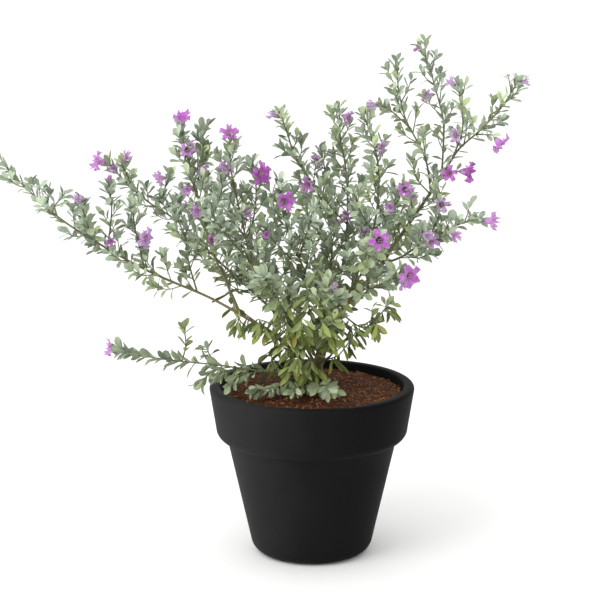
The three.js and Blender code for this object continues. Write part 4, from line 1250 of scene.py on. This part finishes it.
def flower_shape(flowers, spread, lift, curl, cut, seed):
    """A maker of one flower along +Z from its stalk's foot: stalk, toothed calyx, a bell that
    opens into five round frilled lobes, no two alike, and stamens. spread is how wide it opens,
    lift how far the lobes rise past the bell's mouth, curl how far they bend back, and cut how
    deep the clefts between them are."""
    length, full = flowers.length, flowers.spread
    narrow = 1 - (1 - spread) * 0.5
    dice = random.Random(seed)
    own_reach = [dice.uniform(0.8, 1.08) for _ in range(LOBES)]
    own_lift = [dice.uniform(-0.12, 0.14) for _ in range(LOBES)]
    own_frill = [dice.uniform(0, 2 * math.pi) for _ in range(LOBES)]

    def lobe_point(share, lobe, across):
        out = (share - 0.5) * 2
        frill = math.sin(across * 5.5 + own_frill[lobe])
        cleft = max(0.3 * (1 - cut), 1 - abs(across) ** 3.6)
        reach = out * cleft**0.5 * own_reach[lobe]
        reach *= 1 + 0.09 * out * math.sin(across * 8 + 2 * own_frill[lobe])
        mouth = BELL[-1][1] * full * narrow
        slim = 0.5 - (0.03 + 0.09 * cut) * out
        turn = (lobe + 0.5 + across * slim) * 2 * math.pi / LOBES
        cup = 0.1 * (1 - across**2) * out
        rise = (lift + own_lift[lobe]) * reach - curl * reach**2 + 0.17 * frill * out**2 - cup
        return round_point(mouth + (full * spread - mouth) * reach, turn,
                           (BELL[-1][2] + rise) * length)

    def add_bell(bm, uv, cell):
        columns = LOBES * LOBE_COLUMNS
        rings = []
        for share, radius, height in BELL:
            rings.append((share, [bm.verts.new(round_point(
                radius * full * (1 + (narrow - 1) * share * 2), 2 * math.pi * i / columns,
                height * length)) for i in range(columns)]))
        for share in LOBE_SHARES:
            rings.append((share, [bm.verts.new(lobe_point(
                share, i // LOBE_COLUMNS, 2 * (i % LOBE_COLUMNS) / LOBE_COLUMNS - 1))
                for i in range(columns)]))
        faces = ring_faces(bm, [ring for _, ring in rings])
        for number, face in enumerate(faces):
            row, i = divmod(number, columns)
            near, far = rings[row][0], rings[row + 1][0]
            corners = ((near, i), (near, i + 1), (far, i + 1), (far, i))
            for loop, (u, v) in zip(face.loops, corners):
                loop[uv].uv = (u, v / columns)
                loop[cell].uv = (u * PETAL_CELL, v / columns)
        bmesh.ops.recalc_face_normals(bm, faces=bm.faces)
        sheet = kdtree.KDTree(len(bm.verts))
        for i, vert in enumerate(bm.verts):
            sheet.insert(vert.co, i)
        sheet.balance()
        bmesh.ops.solidify(bm, geom=list(bm.faces), thickness=PETAL_THICKNESS)
        # In a tight fold the second side can shoot far out: it is brought back.
        for vert in bm.verts:
            home, _, gap = sheet.find(vert.co)
            if gap > 2 * PETAL_THICKNESS:
                vert.co = home

    def add_rod(bm, points, radii, sides):
        """A closed rod. Returns its faces."""
        rings = [[bm.verts.new(point + round_point(radius, 2 * math.pi * k / sides, 0))
                  for k in range(sides)] for point, radius in zip(points, radii)]
        ends = [bm.faces.new(rings[0][::-1]), bm.faces.new(rings[-1])]
        return ends + ring_faces(bm, rings)

    def add_calyx(bm):
        """A felted cup with a pointed tooth under each lobe. Returns its faces."""
        sides = 2 * LOBES
        rings = []
        for radius, tooth_radius, height, tooth_height in CALYX_RINGS:
            rings.append([bm.verts.new(round_point(
                (tooth_radius if k % 2 else radius) * MM, 2 * math.pi * k / sides,
                (tooth_height if k % 2 else height) * length)) for k in range(sides)])
        faces = [bm.faces.new(rings[0][::-1]), *ring_faces(bm, rings)]
        made = bmesh.ops.solidify(bm, geom=faces, thickness=CALYX_THICKNESS)["geom"]
        return set(faces) | {f for f in made if isinstance(f, bmesh.types.BMFace)}

    def make(name):
        bm = bmesh.new()
        uv = bm.loops.layers.uv.new("UVMap")
        cell = bm.loops.layers.uv.new("cell_map")
        part = bm.faces.layers.int.new("part")
        add_bell(bm, uv, cell)
        stalk = [Vector((0, 0, z * length)) for z in (0, 0.1, 0.2)]
        organs = [(1, 0.0, add_rod(bm, stalk, (0.5 * MM, 0.45 * MM, 0.7 * MM), 6)),
                  (1, 0.4, add_calyx(bm))]
        for k in range(STAMENS):
            lean = round_point(1, 2 * math.pi * (k + 0.5) / STAMENS, 0)
            height = (0.62 + 0.05 * (k % 2)) * length
            way = [lean * 0.8 * MM + Vector((0, 0, 0.3 * length)),
                   lean * 1.6 * MM + Vector((0, 0, height * 0.8)),
                   lean * 1.5 * MM + Vector((0, 0, height))]
            organs.append((2, 0.8, add_rod(bm, way, (FILAMENT_RADIUS,) * 3, 4)))
            up = Vector((0, 0, 0.5 * MM))
            organs.append((2, 0.8, add_rod(bm, [way[-1] - up, way[-1], way[-1] + up],
                                           ANTHER_RADII, 6)))
        for kind, low, faces in organs:
            for face in faces:
                face[part] = kind
                for i, loop in enumerate(face.loops):
                    loop[cell].uv = (0.84 + 0.12 * (i % 2), low + 0.15 * (i // 2 % 2))
        return object_from(bm, name)

    return make


def flower_tree():
    """Geometry Nodes that stand a flower on each point, facing along its attribute facing."""
    add, given, end = new_tree("flower_heads", (
        ("Points", "NodeSocketGeometry"), ("Flower shapes", "NodeSocketCollection"),
        ("Seed", "NodeSocketInt"), ("Petal finish", "NodeSocketMaterial"),
        ("Calyx finish", "NodeSocketMaterial"), ("Anther finish", "NodeSocketMaterial")))
    facing = add("GeometryNodeInputNamedAttribute", "facing", data_type="FLOAT_VECTOR")
    ahead = add("FunctionNodeAlignRotationToVector", inputs={"Vector": facing}, axis="Z")
    spin = add("FunctionNodeRandomValue", data_type="FLOAT",
               inputs={"Min": -math.pi, "Max": math.pi, "Seed": given["Seed"]})
    spun = add("FunctionNodeRotateRotation", ahead, add(
        "FunctionNodeEulerToRotation", add("ShaderNodeCombineXYZ", 0.0, 0.0, spin)),
        rotation_space="LOCAL")
    shape = add("GeometryNodeInputNamedAttribute", "shape", data_type="INT")
    size = add("GeometryNodeInputNamedAttribute", "size", data_type="FLOAT")
    finished = stand_copies(add, given["Points"], "MESH", given["Flower shapes"], "cell_map", {},
                            {"Instance Index": shape, "Rotation": spun, "Scale": size})
    part = add("GeometryNodeInputNamedAttribute", "part", data_type="INT")
    for kind, finish in enumerate(("Petal finish", "Calyx finish", "Anther finish")):
        is_kind = add("FunctionNodeCompare", part, kind, data_type="INT", operation="EQUAL")
        finished = add("GeometryNodeSetMaterial", finished,
                       inputs={"Selection": is_kind, "Material": given[finish]})
    join(finished, end.inputs[0])
    return end.id_data


# Each shape's spread, lift, curl and cut.
FLOWER_SHAPES = ((1.0, 0.34, 0.2, 0.95), (0.74, 0.4, 0.05, 0.9), (0.3, 0.3, 0.0, 0.5),
                 (1.15, 0.3, 0.34, 0.75), (0.95, 0.44, 0.14, 0.7))
OPEN_SHAPES = (0, 3, 4)


def flower_points(plant, rows):
    """An object of single points with each flower's facing, size, shade and shape."""
    bm = bmesh.new()
    facing = bm.verts.layers.float_vector.new("facing")
    size = bm.verts.layers.float.new("size")
    tint = bm.verts.layers.float.new("tint")
    shape = bm.verts.layers.int.new("shape")
    for carrier, share, direction, scale, shade, kind in rows:
        vert = bm.verts.new(point_on(plant[carrier].line, share)[0])
        vert[facing] = Vector(direction).normalized()
        vert[size] = scale
        vert[tint] = shade
        vert[shape] = kind
    return object_from(bm, "flower_points")


def make_flowers(foliage, flowers):
    """The twelve flowers of the CAD model, one piece each, and the small ones as one piece."""
    plant = plan_plant(foliage.seed, foliage.sprig)
    shapes = asset_collection("flower", [flower_shape(flowers, *row, seed)
                                         for seed, row in enumerate(FLOWER_SHAPES, 1)])
    tree = flower_tree()
    finishes = {
        "Flower shapes": shapes, "Petal finish": sage_petal(flowers),
        "Calyx finish": plain_finish("felted_calyx", linear("#93A184"), 0.8, 1.2),
        "Anther finish": plain_finish("pollen", linear("#E2D3A0"), 0.7, 0.6)}
    for number, flower in enumerate(CAD_FLOWERS):
        node = f"flower_{number + 1}"
        row = (*flower, OPEN_SHAPES[number % len(OPEN_SHAPES)])
        keep(run_tree(flower_points(plant, [row]), tree,
                      {**finishes, "Seed": flowers.seed + number}, f"{node}_open"),
             "petal", node)
    small = [(*row[:3], row[3] * flowers.small, *row[4:]) for row in SMALL_FLOWERS]
    keep(run_tree(flower_points(plant, small), tree,
                  {**finishes, "Seed": flowers.seed}, "small_flowers"), "petal")
    discard_collection(shapes)


# ---------------------------------------------------------------------------
# Pot and soil
# ---------------------------------------------------------------------------

POT_SEGMENTS = 144
SHARPEST_SMOOTH = math.radians(40)  # between two faces
BODY_TOP_RADIUS = 85.8 * MM  # outside of the body, right under the band
BODY_TAPER = 0.223  # fall in radius for each metre down
BAND_FOOT_RADIUS = 97 * MM
BAND_ROUND = 11 * MM
BAND_STEP = 0.8 * MM
BASE_ROUND = 14 * MM
POT_FLOOR = 6 * MM
LIP_ROUNDS = (4 * MM, 2.5 * MM)  # outer and inner
DRAIN_HOLES = 6
DRAIN_RADIUS = 5 * MM
DRAIN_RING_RADIUS = 31 * MM
CHANNEL = (5 * MM, 1.6 * MM)  # width and depth
SEAM = 0.4 * MM


def arc(radius, centre, start, stop, steps):
    """Points (radius, height) of an arc between two angles in degrees."""
    turns = [math.radians(start + (stop - start) * i / steps) for i in range(steps + 1)]
    return [(centre[0] + radius * math.cos(a), centre[1] + radius * math.sin(a)) for a in turns]


def body_radius(height, band_bottom):
    return BODY_TOP_RADIUS - BODY_TAPER * (band_bottom - height)


def lathe(bm, profile, segments):
    """A closed solid of revolution from (radius, height) points that start and end on the
    axis, with UVs of metres round and along it."""
    uv = bm.loops.layers.uv.new("UVMap")
    gone = [0]
    for a, b in zip(profile, profile[1:]):
        gone.append(gone[-1] + math.dist(a, b))
    rings = []
    for radius, height in profile:
        if radius < 1e-6:
            rings.append([bm.verts.new((0, 0, height))] * segments)
        else:
            rings.append([bm.verts.new(round_point(radius, 2 * math.pi * k / segments, height))
                          for k in range(segments)])
    for i, (a, b) in enumerate(zip(rings, rings[1:])):
        for k in range(segments):
            j = (k + 1) % segments
            corners = list(dict.fromkeys((a[k], a[j], b[j], b[k])))
            face = bm.faces.new(corners)
            for loop in face.loops:
                near = loop.vert in (a[k], a[j])
                step = k + 1 if loop.vert in (a[j], b[j]) and loop.vert is not a[k] else k
                loop[uv].uv = (RIM_RADIUS * 2 * math.pi * step / segments,
                               gone[i] if near else gone[i + 1])


def make_pot(settings):
    """The pot: a tapered body under a deep rim band, with six drain holes in its floor and a
    shallow channel from each to the edge of its foot."""
    band_bottom = POT_TOP - settings.band
    lean = math.degrees(math.atan(BODY_TAPER))
    base_height = BASE_ROUND * (1 - math.sin(math.radians(lean)))
    base_radius = (body_radius(base_height, band_bottom)
                   - BASE_ROUND * math.cos(math.radians(lean)))
    outer, inner = LIP_ROUNDS
    inside = body_radius(POT_TOP, band_bottom) - settings.wall
    floor_inside = body_radius(POT_FLOOR, band_bottom) - settings.wall
    profile = [
        (0, 0), (DRAIN_RING_RADIUS * 1.6, 0),
        *arc(BASE_ROUND, (base_radius, BASE_ROUND), -90, -lean, 8),
        *[(body_radius(band_bottom * share, band_bottom), band_bottom * share)
          for share in (0.3, 0.55, 0.8)],
        (BODY_TOP_RADIUS, band_bottom - BAND_STEP),
        *arc(BAND_ROUND, (BAND_FOOT_RADIUS - BAND_ROUND, band_bottom + BAND_ROUND), -88, 0, 10),
        *arc(outer, (RIM_RADIUS - outer, POT_TOP - outer), 0, 90, 7),
        *arc(inner, (inside + inner, POT_TOP - inner), 90, 180, 5),
        (floor_inside, POT_FLOOR), (0, POT_FLOOR),
    ]
    bm = bmesh.new()
    lathe(bm, profile, POT_SEGMENTS)
    pot = object_from(bm, "pot_line", moulded_polyethylene(settings))
    cutter_bm = bmesh.new()
    width, depth = CHANNEL
    for i in range(DRAIN_HOLES):
        turn = Matrix.Rotation(2 * math.pi * i / DRAIN_HOLES, 4, "Z")
        bmesh.ops.create_cone(
            cutter_bm, cap_ends=True, segments=24, radius1=DRAIN_RADIUS, radius2=DRAIN_RADIUS,
            depth=4 * POT_FLOOR, matrix=turn @ Matrix.Translation((DRAIN_RING_RADIUS, 0, 0)))
        bmesh.ops.create_cube(
            cutter_bm, size=1, matrix=turn @ Matrix.Translation(
                (DRAIN_RING_RADIUS + BODY_TOP_RADIUS / 2, 0, 0))
            @ Matrix.Diagonal((BODY_TOP_RADIUS, width, 2 * depth, 1)))
    cutter = object_from(cutter_bm, "drains")
    cut = pot.modifiers.new("drains", "BOOLEAN")
    cut.object = cutter
    cut.use_self = True
    piece = settled(pot, "flower_pot")
    discard(cutter)
    piece.data.set_sharp_from_angle(angle=SHARPEST_SMOOTH)
    keep(piece, "pot", "pot")


BIT_SHAPES = 4  # of chips, and of fibres
# The least and most of what chance gives a bit: size, tilt both ways, spin and tint.
BIT_CHANCES = ((0, 1), (-1, 1), (-1, 1), (-math.pi, math.pi), (0, 1))
UP_FACING = 0.4  # least share of +Z in the normal of a face that carries bits


def chip_shape(seed):
    """A maker of one milled bit of husk, a metre long: a crumb with uneven corners."""

    def make(name):
        dice = random.Random(seed)
        bm = bmesh.new()
        bmesh.ops.create_icosphere(bm, subdivisions=1, radius=0.5,
                                   matrix=Matrix.Diagonal((1.1, 0.62, 0.45, 1)))
        for vert in bm.verts:
            vert.co += Vector([dice.uniform(-0.09, 0.09) for _ in range(3)])
        uv = bm.loops.layers.uv.new("UVMap")
        for i, face in enumerate(bm.faces):
            column, row = i % 5 / 5, i // 5 / 5
            for k, loop in enumerate(face.loops):
                loop[uv].uv = (column + 0.18 * (k % 2), row + 0.18 * (k // 2))
        return object_from(bm, name)

    return make


def fibre_shape(seed):
    """A maker of one curled fibre, a metre long and closed at its ends."""

    def make(name):
        dice = random.Random(seed)
        line = smooth_line([Vector((x, dice.uniform(-0.14, 0.14), dice.uniform(0, 0.12)))
                            for x in (-0.5, -0.2, 0.15, 0.5)])
        fibre = Twig(name, name, line[::4], 26, 12, "sprig")
        bm = bmesh.new()
        add_tube(bm, fibre, 4, (0, 1), (0, 0), 0)
        bm.loops.layers.uv.remove(bm.loops.layers.uv["UVMap"])
        bm.loops.layers.uv.new("UVMap").copy_from(bm.loops.layers.uv[BAKE_MAP])
        return object_from(bm, name)

    return make


def scatter_tree():
    """Geometry Nodes that scatter bits over the upper face of a bed."""
    add, given, end = new_tree("scattered_coir", (
        ("Bed", "NodeSocketGeometry"), ("Bits", "NodeSocketCollection"),
        ("Density", "NodeSocketFloat"), ("Size", "NodeSocketFloat"),
        ("Smallest", "NodeSocketFloat"), ("Tilt", "NodeSocketFloat"), ("Seed", "NodeSocketInt"),
        ("Finish", "NodeSocketMaterial")))
    normal = add("GeometryNodeInputNormal")
    up = add("ShaderNodeSeparateXYZ", normal).outputs["Z"]
    on_top = add("ShaderNodeMath", up, UP_FACING, operation="GREATER_THAN")
    points = add("GeometryNodeDistributePointsOnFaces", given["Bed"], inputs={
        "Selection": on_top, "Density": given["Density"], "Seed": given["Seed"]})
    growth, tilt_x, tilt_y, spin, tint = draw_chances(add, given["Seed"], BIT_CHANCES)
    turns = [add("ShaderNodeMath", tilt, given["Tilt"], operation="MULTIPLY")
             for tilt in (tilt_x, tilt_y)]
    turned = add("FunctionNodeEulerToRotation", add("ShaderNodeCombineXYZ", *turns, spin))
    skewed = add("ShaderNodeMath", growth, 2.5, operation="POWER")
    size = add("ShaderNodeMath", add("ShaderNodeMix", skewed, given["Smallest"], 1.0),
               given["Size"], operation="MULTIPLY")
    pick = add("FunctionNodeRandomValue", data_type="INT",
               inputs={"Min": 0, "Max": BIT_SHAPES - 1, "Seed": given["Seed"]})
    bits = stand_copies(add, points, "POINTCLOUD", given["Bits"], "UVMap", {"tint": tint},
                        {"Instance Index": pick, "Rotation": turned, "Scale": size})
    finished = add("GeometryNodeSetMaterial", bits, inputs={"Material": given["Finish"]})
    join(finished, end.inputs[0])
    return end.id_data


BED_RINGS = 46
BED_SEGMENTS = 120
EDGE_DROP = 6 * MM  # of the soil's edge under the pot's top
CHIP_BED = 2.2 * MM  # of loose chips over the bed
UNEVENNESS = ((90, 0.7, 2.2, 2.0 * MM), (420, 0.6, 2.0, 0.9 * MM))  # noise, and its height
CHIP_DENSITY = 125000  # for each square metre
FIBRE_DENSITY = 16000


def make_soil(settings, pot):
    """Coir potting mix: an uneven bed that fills the pot, and the chips and fibres on it."""
    low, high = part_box("soil")
    radius = high[0] - SEAM
    edge = POT_TOP - EDGE_DROP
    foot = body_radius(POT_FLOOR, POT_TOP - pot.band) - pot.wall - 2 * SEAM
    bm = bmesh.new()
    profile = [(0, low[2]), (foot, low[2])]
    for i in range(BED_RINGS, -1, -1):
        share = i / BED_RINGS
        crown = (high[2] - edge) * math.cos(share * math.pi / 2)
        profile.append((radius * share, edge + crown - CHIP_BED))
    lathe(bm, profile, BED_SEGMENTS)
    for vert in bm.verts:
        flat = math.hypot(vert.co.x, vert.co.y)
        if vert.co.z > edge - EDGE_DROP and flat < radius * 0.995:
            vert.co.z += sum(
                noise.fractal(vert.co * scale + Vector((3, 1, 0)) * i, rough, step, 3) * height
                for i, (scale, rough, step, height) in enumerate(UNEVENNESS))
    husk = milled_coir("coir_bed", 2.5, "#321D10", "#5B351F", "#7C4F32", "#976340", "#673E26")
    bed = object_from(bm, "coir_bed", husk)
    chips = asset_collection("chip", map(chip_shape, range(BIT_SHAPES)))
    fibres = asset_collection("fibre", map(fibre_shape, range(BIT_SHAPES)))
    tree = scatter_tree()
    chip_finish = milled_coir("coir_chips", 1.6, "#27150A", "#59311B", "#824F2F", "#99613E",
                              "#AF7A50", "#6E4227")
    fibre_finish = milled_coir("coir_fibres", 3.0, "#52301D", "#824F2F", "#B27F4A")
    for name, bits, density, size, smallest, tilt, finish, seed in (
            ("coir_chips", chips, CHIP_DENSITY, settings.chip, 0.3, 0.7, chip_finish, 0),
            ("coir_fibres", fibres, FIBRE_DENSITY, settings.fibre, 0.35, 0.3, fibre_finish, 50)):
        source = link(bpy.data.objects.new("bed_copy", bed.data.copy()))
        piece = run_tree(source, tree, {
            "Bits": bits, "Density": density, "Size": size, "Smallest": smallest, "Tilt": tilt,
            "Seed": settings.seed + seed, "Finish": finish}, name)
        keep(piece, "soil")
    keep(bed, "soil", "soil")
    discard_collection(chips)
    discard_collection(fibres)


# ---------------------------------------------------------------------------
# Stage
# ---------------------------------------------------------------------------

TARGET = Vector((-0.012, 0, 0.26))  # middle of what the camera sees
FLOOR_RADIUS = 6
FLOOR_DROP = 0.5 * MM
SOFTBOX_PLACE = Vector((-1.5, -1.5, 2.0))
SOFTBOX_TARGET = Vector((0, 0, 0.25))
SOFTBOX_SIZE = 1.6
SOFTBOX_POWER = 26
LEFT_WALL = 1.28  # strength of the room's light
RIGHT_WALL = 0.75


def aim(name, data, place, target):
    """A lamp or camera at a place, turned to a target."""
    thing = link(bpy.data.objects.new(name, data))
    thing.location = place
    thing.rotation_euler = (target - place).to_track_quat("-Z", "Y").to_euler()
    return thing


def make_stage(settings):
    """A wide pale floor, a white room, a soft light from the upper left, and the camera."""
    bm = bmesh.new()
    bmesh.ops.create_circle(bm, cap_ends=True, radius=FLOOR_RADIUS, segments=64)
    paint = plain_finish("painted_floor", settings.floor[:], 0.9, 400)
    floor = object_from(bm, "studio_floor", paint)
    floor.location.z = -FLOOR_DROP
    world = bpy.data.worlds.new("white_room")
    world.use_nodes = True
    # The room is white, and dimmer on the right, so that shapes turn away from the soft light.
    add = partial(add_node, world.node_tree)
    direction = add("ShaderNodeSeparateXYZ", add("ShaderNodeTexCoord"))
    strength = add("ShaderNodeMapRange", direction, interpolation_type="SMOOTHSTEP", inputs={
        "From Min": 0.15, "From Max": 0.85, "To Min": LEFT_WALL, "To Max": RIGHT_WALL})
    join(strength, world.node_tree.nodes["Background"].inputs["Strength"])
    world.node_tree.nodes["Background"].inputs["Color"].default_value = linear("#FFFFFF")
    bpy.context.scene.world = world
    bpy.context.scene.view_settings.view_transform = "Standard"
    light = bpy.data.lights.new("upper_left_softbox", "AREA")
    light.shape = "DISK"
    light.size = SOFTBOX_SIZE
    light.energy = SOFTBOX_POWER
    aim("upper_left_softbox", light, SOFTBOX_PLACE, SOFTBOX_TARGET)
    lens = bpy.data.cameras.new("studio_camera")
    lens.lens = settings.lens
    lens.sensor_width = 36
    lens.clip_end = 50
    rise = settings.elevation
    away = settings.distance * Vector((0, -math.cos(rise), math.sin(rise)))
    bpy.context.scene.camera = aim("studio_camera", lens, TARGET + away, TARGET)


# ---------------------------------------------------------------------------
# Operators and panel
# ---------------------------------------------------------------------------


class SAGE_OT_pot(bpy.types.Operator):
    """Make the flower pot"""

    bl_idname = "sage.pot"
    bl_label = "Pot"

    def execute(self, context):
        make_pot(context.scene.sage_pot)
        return {"FINISHED"}


class SAGE_OT_soil(bpy.types.Operator):
    """Make the potting mix"""

    bl_idname = "sage.soil"
    bl_label = "Soil"

    def execute(self, context):
        make_soil(context.scene.sage_soil, context.scene.sage_pot)
        return {"FINISHED"}


class SAGE_OT_twigs(bpy.types.Operator):
    """Make the trunk, the stems and shoots, and their leaves"""

    bl_idname = "sage.twigs"
    bl_label = "Twigs and leaves"

    def execute(self, context):
        make_twigs(context.scene.sage_foliage)
        return {"FINISHED"}


class SAGE_OT_flowers(bpy.types.Operator):
    """Make the flowers"""

    bl_idname = "sage.flowers"
    bl_label = "Flowers"

    def execute(self, context):
        make_flowers(context.scene.sage_foliage, context.scene.sage_flowers)
        return {"FINISHED"}


class SAGE_OT_stage(bpy.types.Operator):
    """Make the floor, the lights and the camera"""

    bl_idname = "sage.stage"
    bl_label = "Stage"

    def execute(self, context):
        make_stage(context.scene.sage_stage)
        return {"FINISHED"}


class SAGE_PT_panel(bpy.types.Panel):
    """Sizes and colours, and a button for each part"""

    bl_idname = "SAGE_PT_panel"
    bl_label = "Potted Texas sage"
    bl_space_type = "VIEW_3D"
    bl_region_type = "UI"
    bl_category = "Sage"

    def draw(self, context):
        for name, operators in PARTS.items():
            settings = getattr(context.scene, f"sage_{name}")
            box = self.layout.box()
            for setting in settings.bl_rna.properties:
                if setting.identifier not in {"rna_type", "name"}:
                    box.prop(settings, setting.identifier)
            for operator in operators:
                box.operator(operator.bl_idname)


SETTINGS = {"pot": SagePot, "soil": SageSoil, "foliage": SageFoliage, "flowers": SageFlowers,
            "stage": SageStage}
PARTS = {"pot": [SAGE_OT_pot], "soil": [SAGE_OT_soil], "foliage": [SAGE_OT_twigs],
         "flowers": [SAGE_OT_flowers], "stage": [SAGE_OT_stage]}
CLASSES = [*SETTINGS.values(), *[c for row in PARTS.values() for c in row], SAGE_PT_panel]


def register():
    for cls in CLASSES:
        bpy.utils.register_class(cls)
    for name, cls in SETTINGS.items():
        setattr(bpy.types.Scene, f"sage_{name}", bpy.props.PointerProperty(type=cls))


def unregister():
    for name in SETTINGS:
        delattr(bpy.types.Scene, f"sage_{name}")
    for cls in reversed(CLASSES):
        bpy.utils.unregister_class(cls)


def main():
    register()
    bpy.ops.sage.stage()
    bpy.ops.sage.pot()
    bpy.ops.sage.soil()
    bpy.ops.sage.twigs()
    bpy.ops.sage.flowers()


if __name__ == "__main__":
    main()
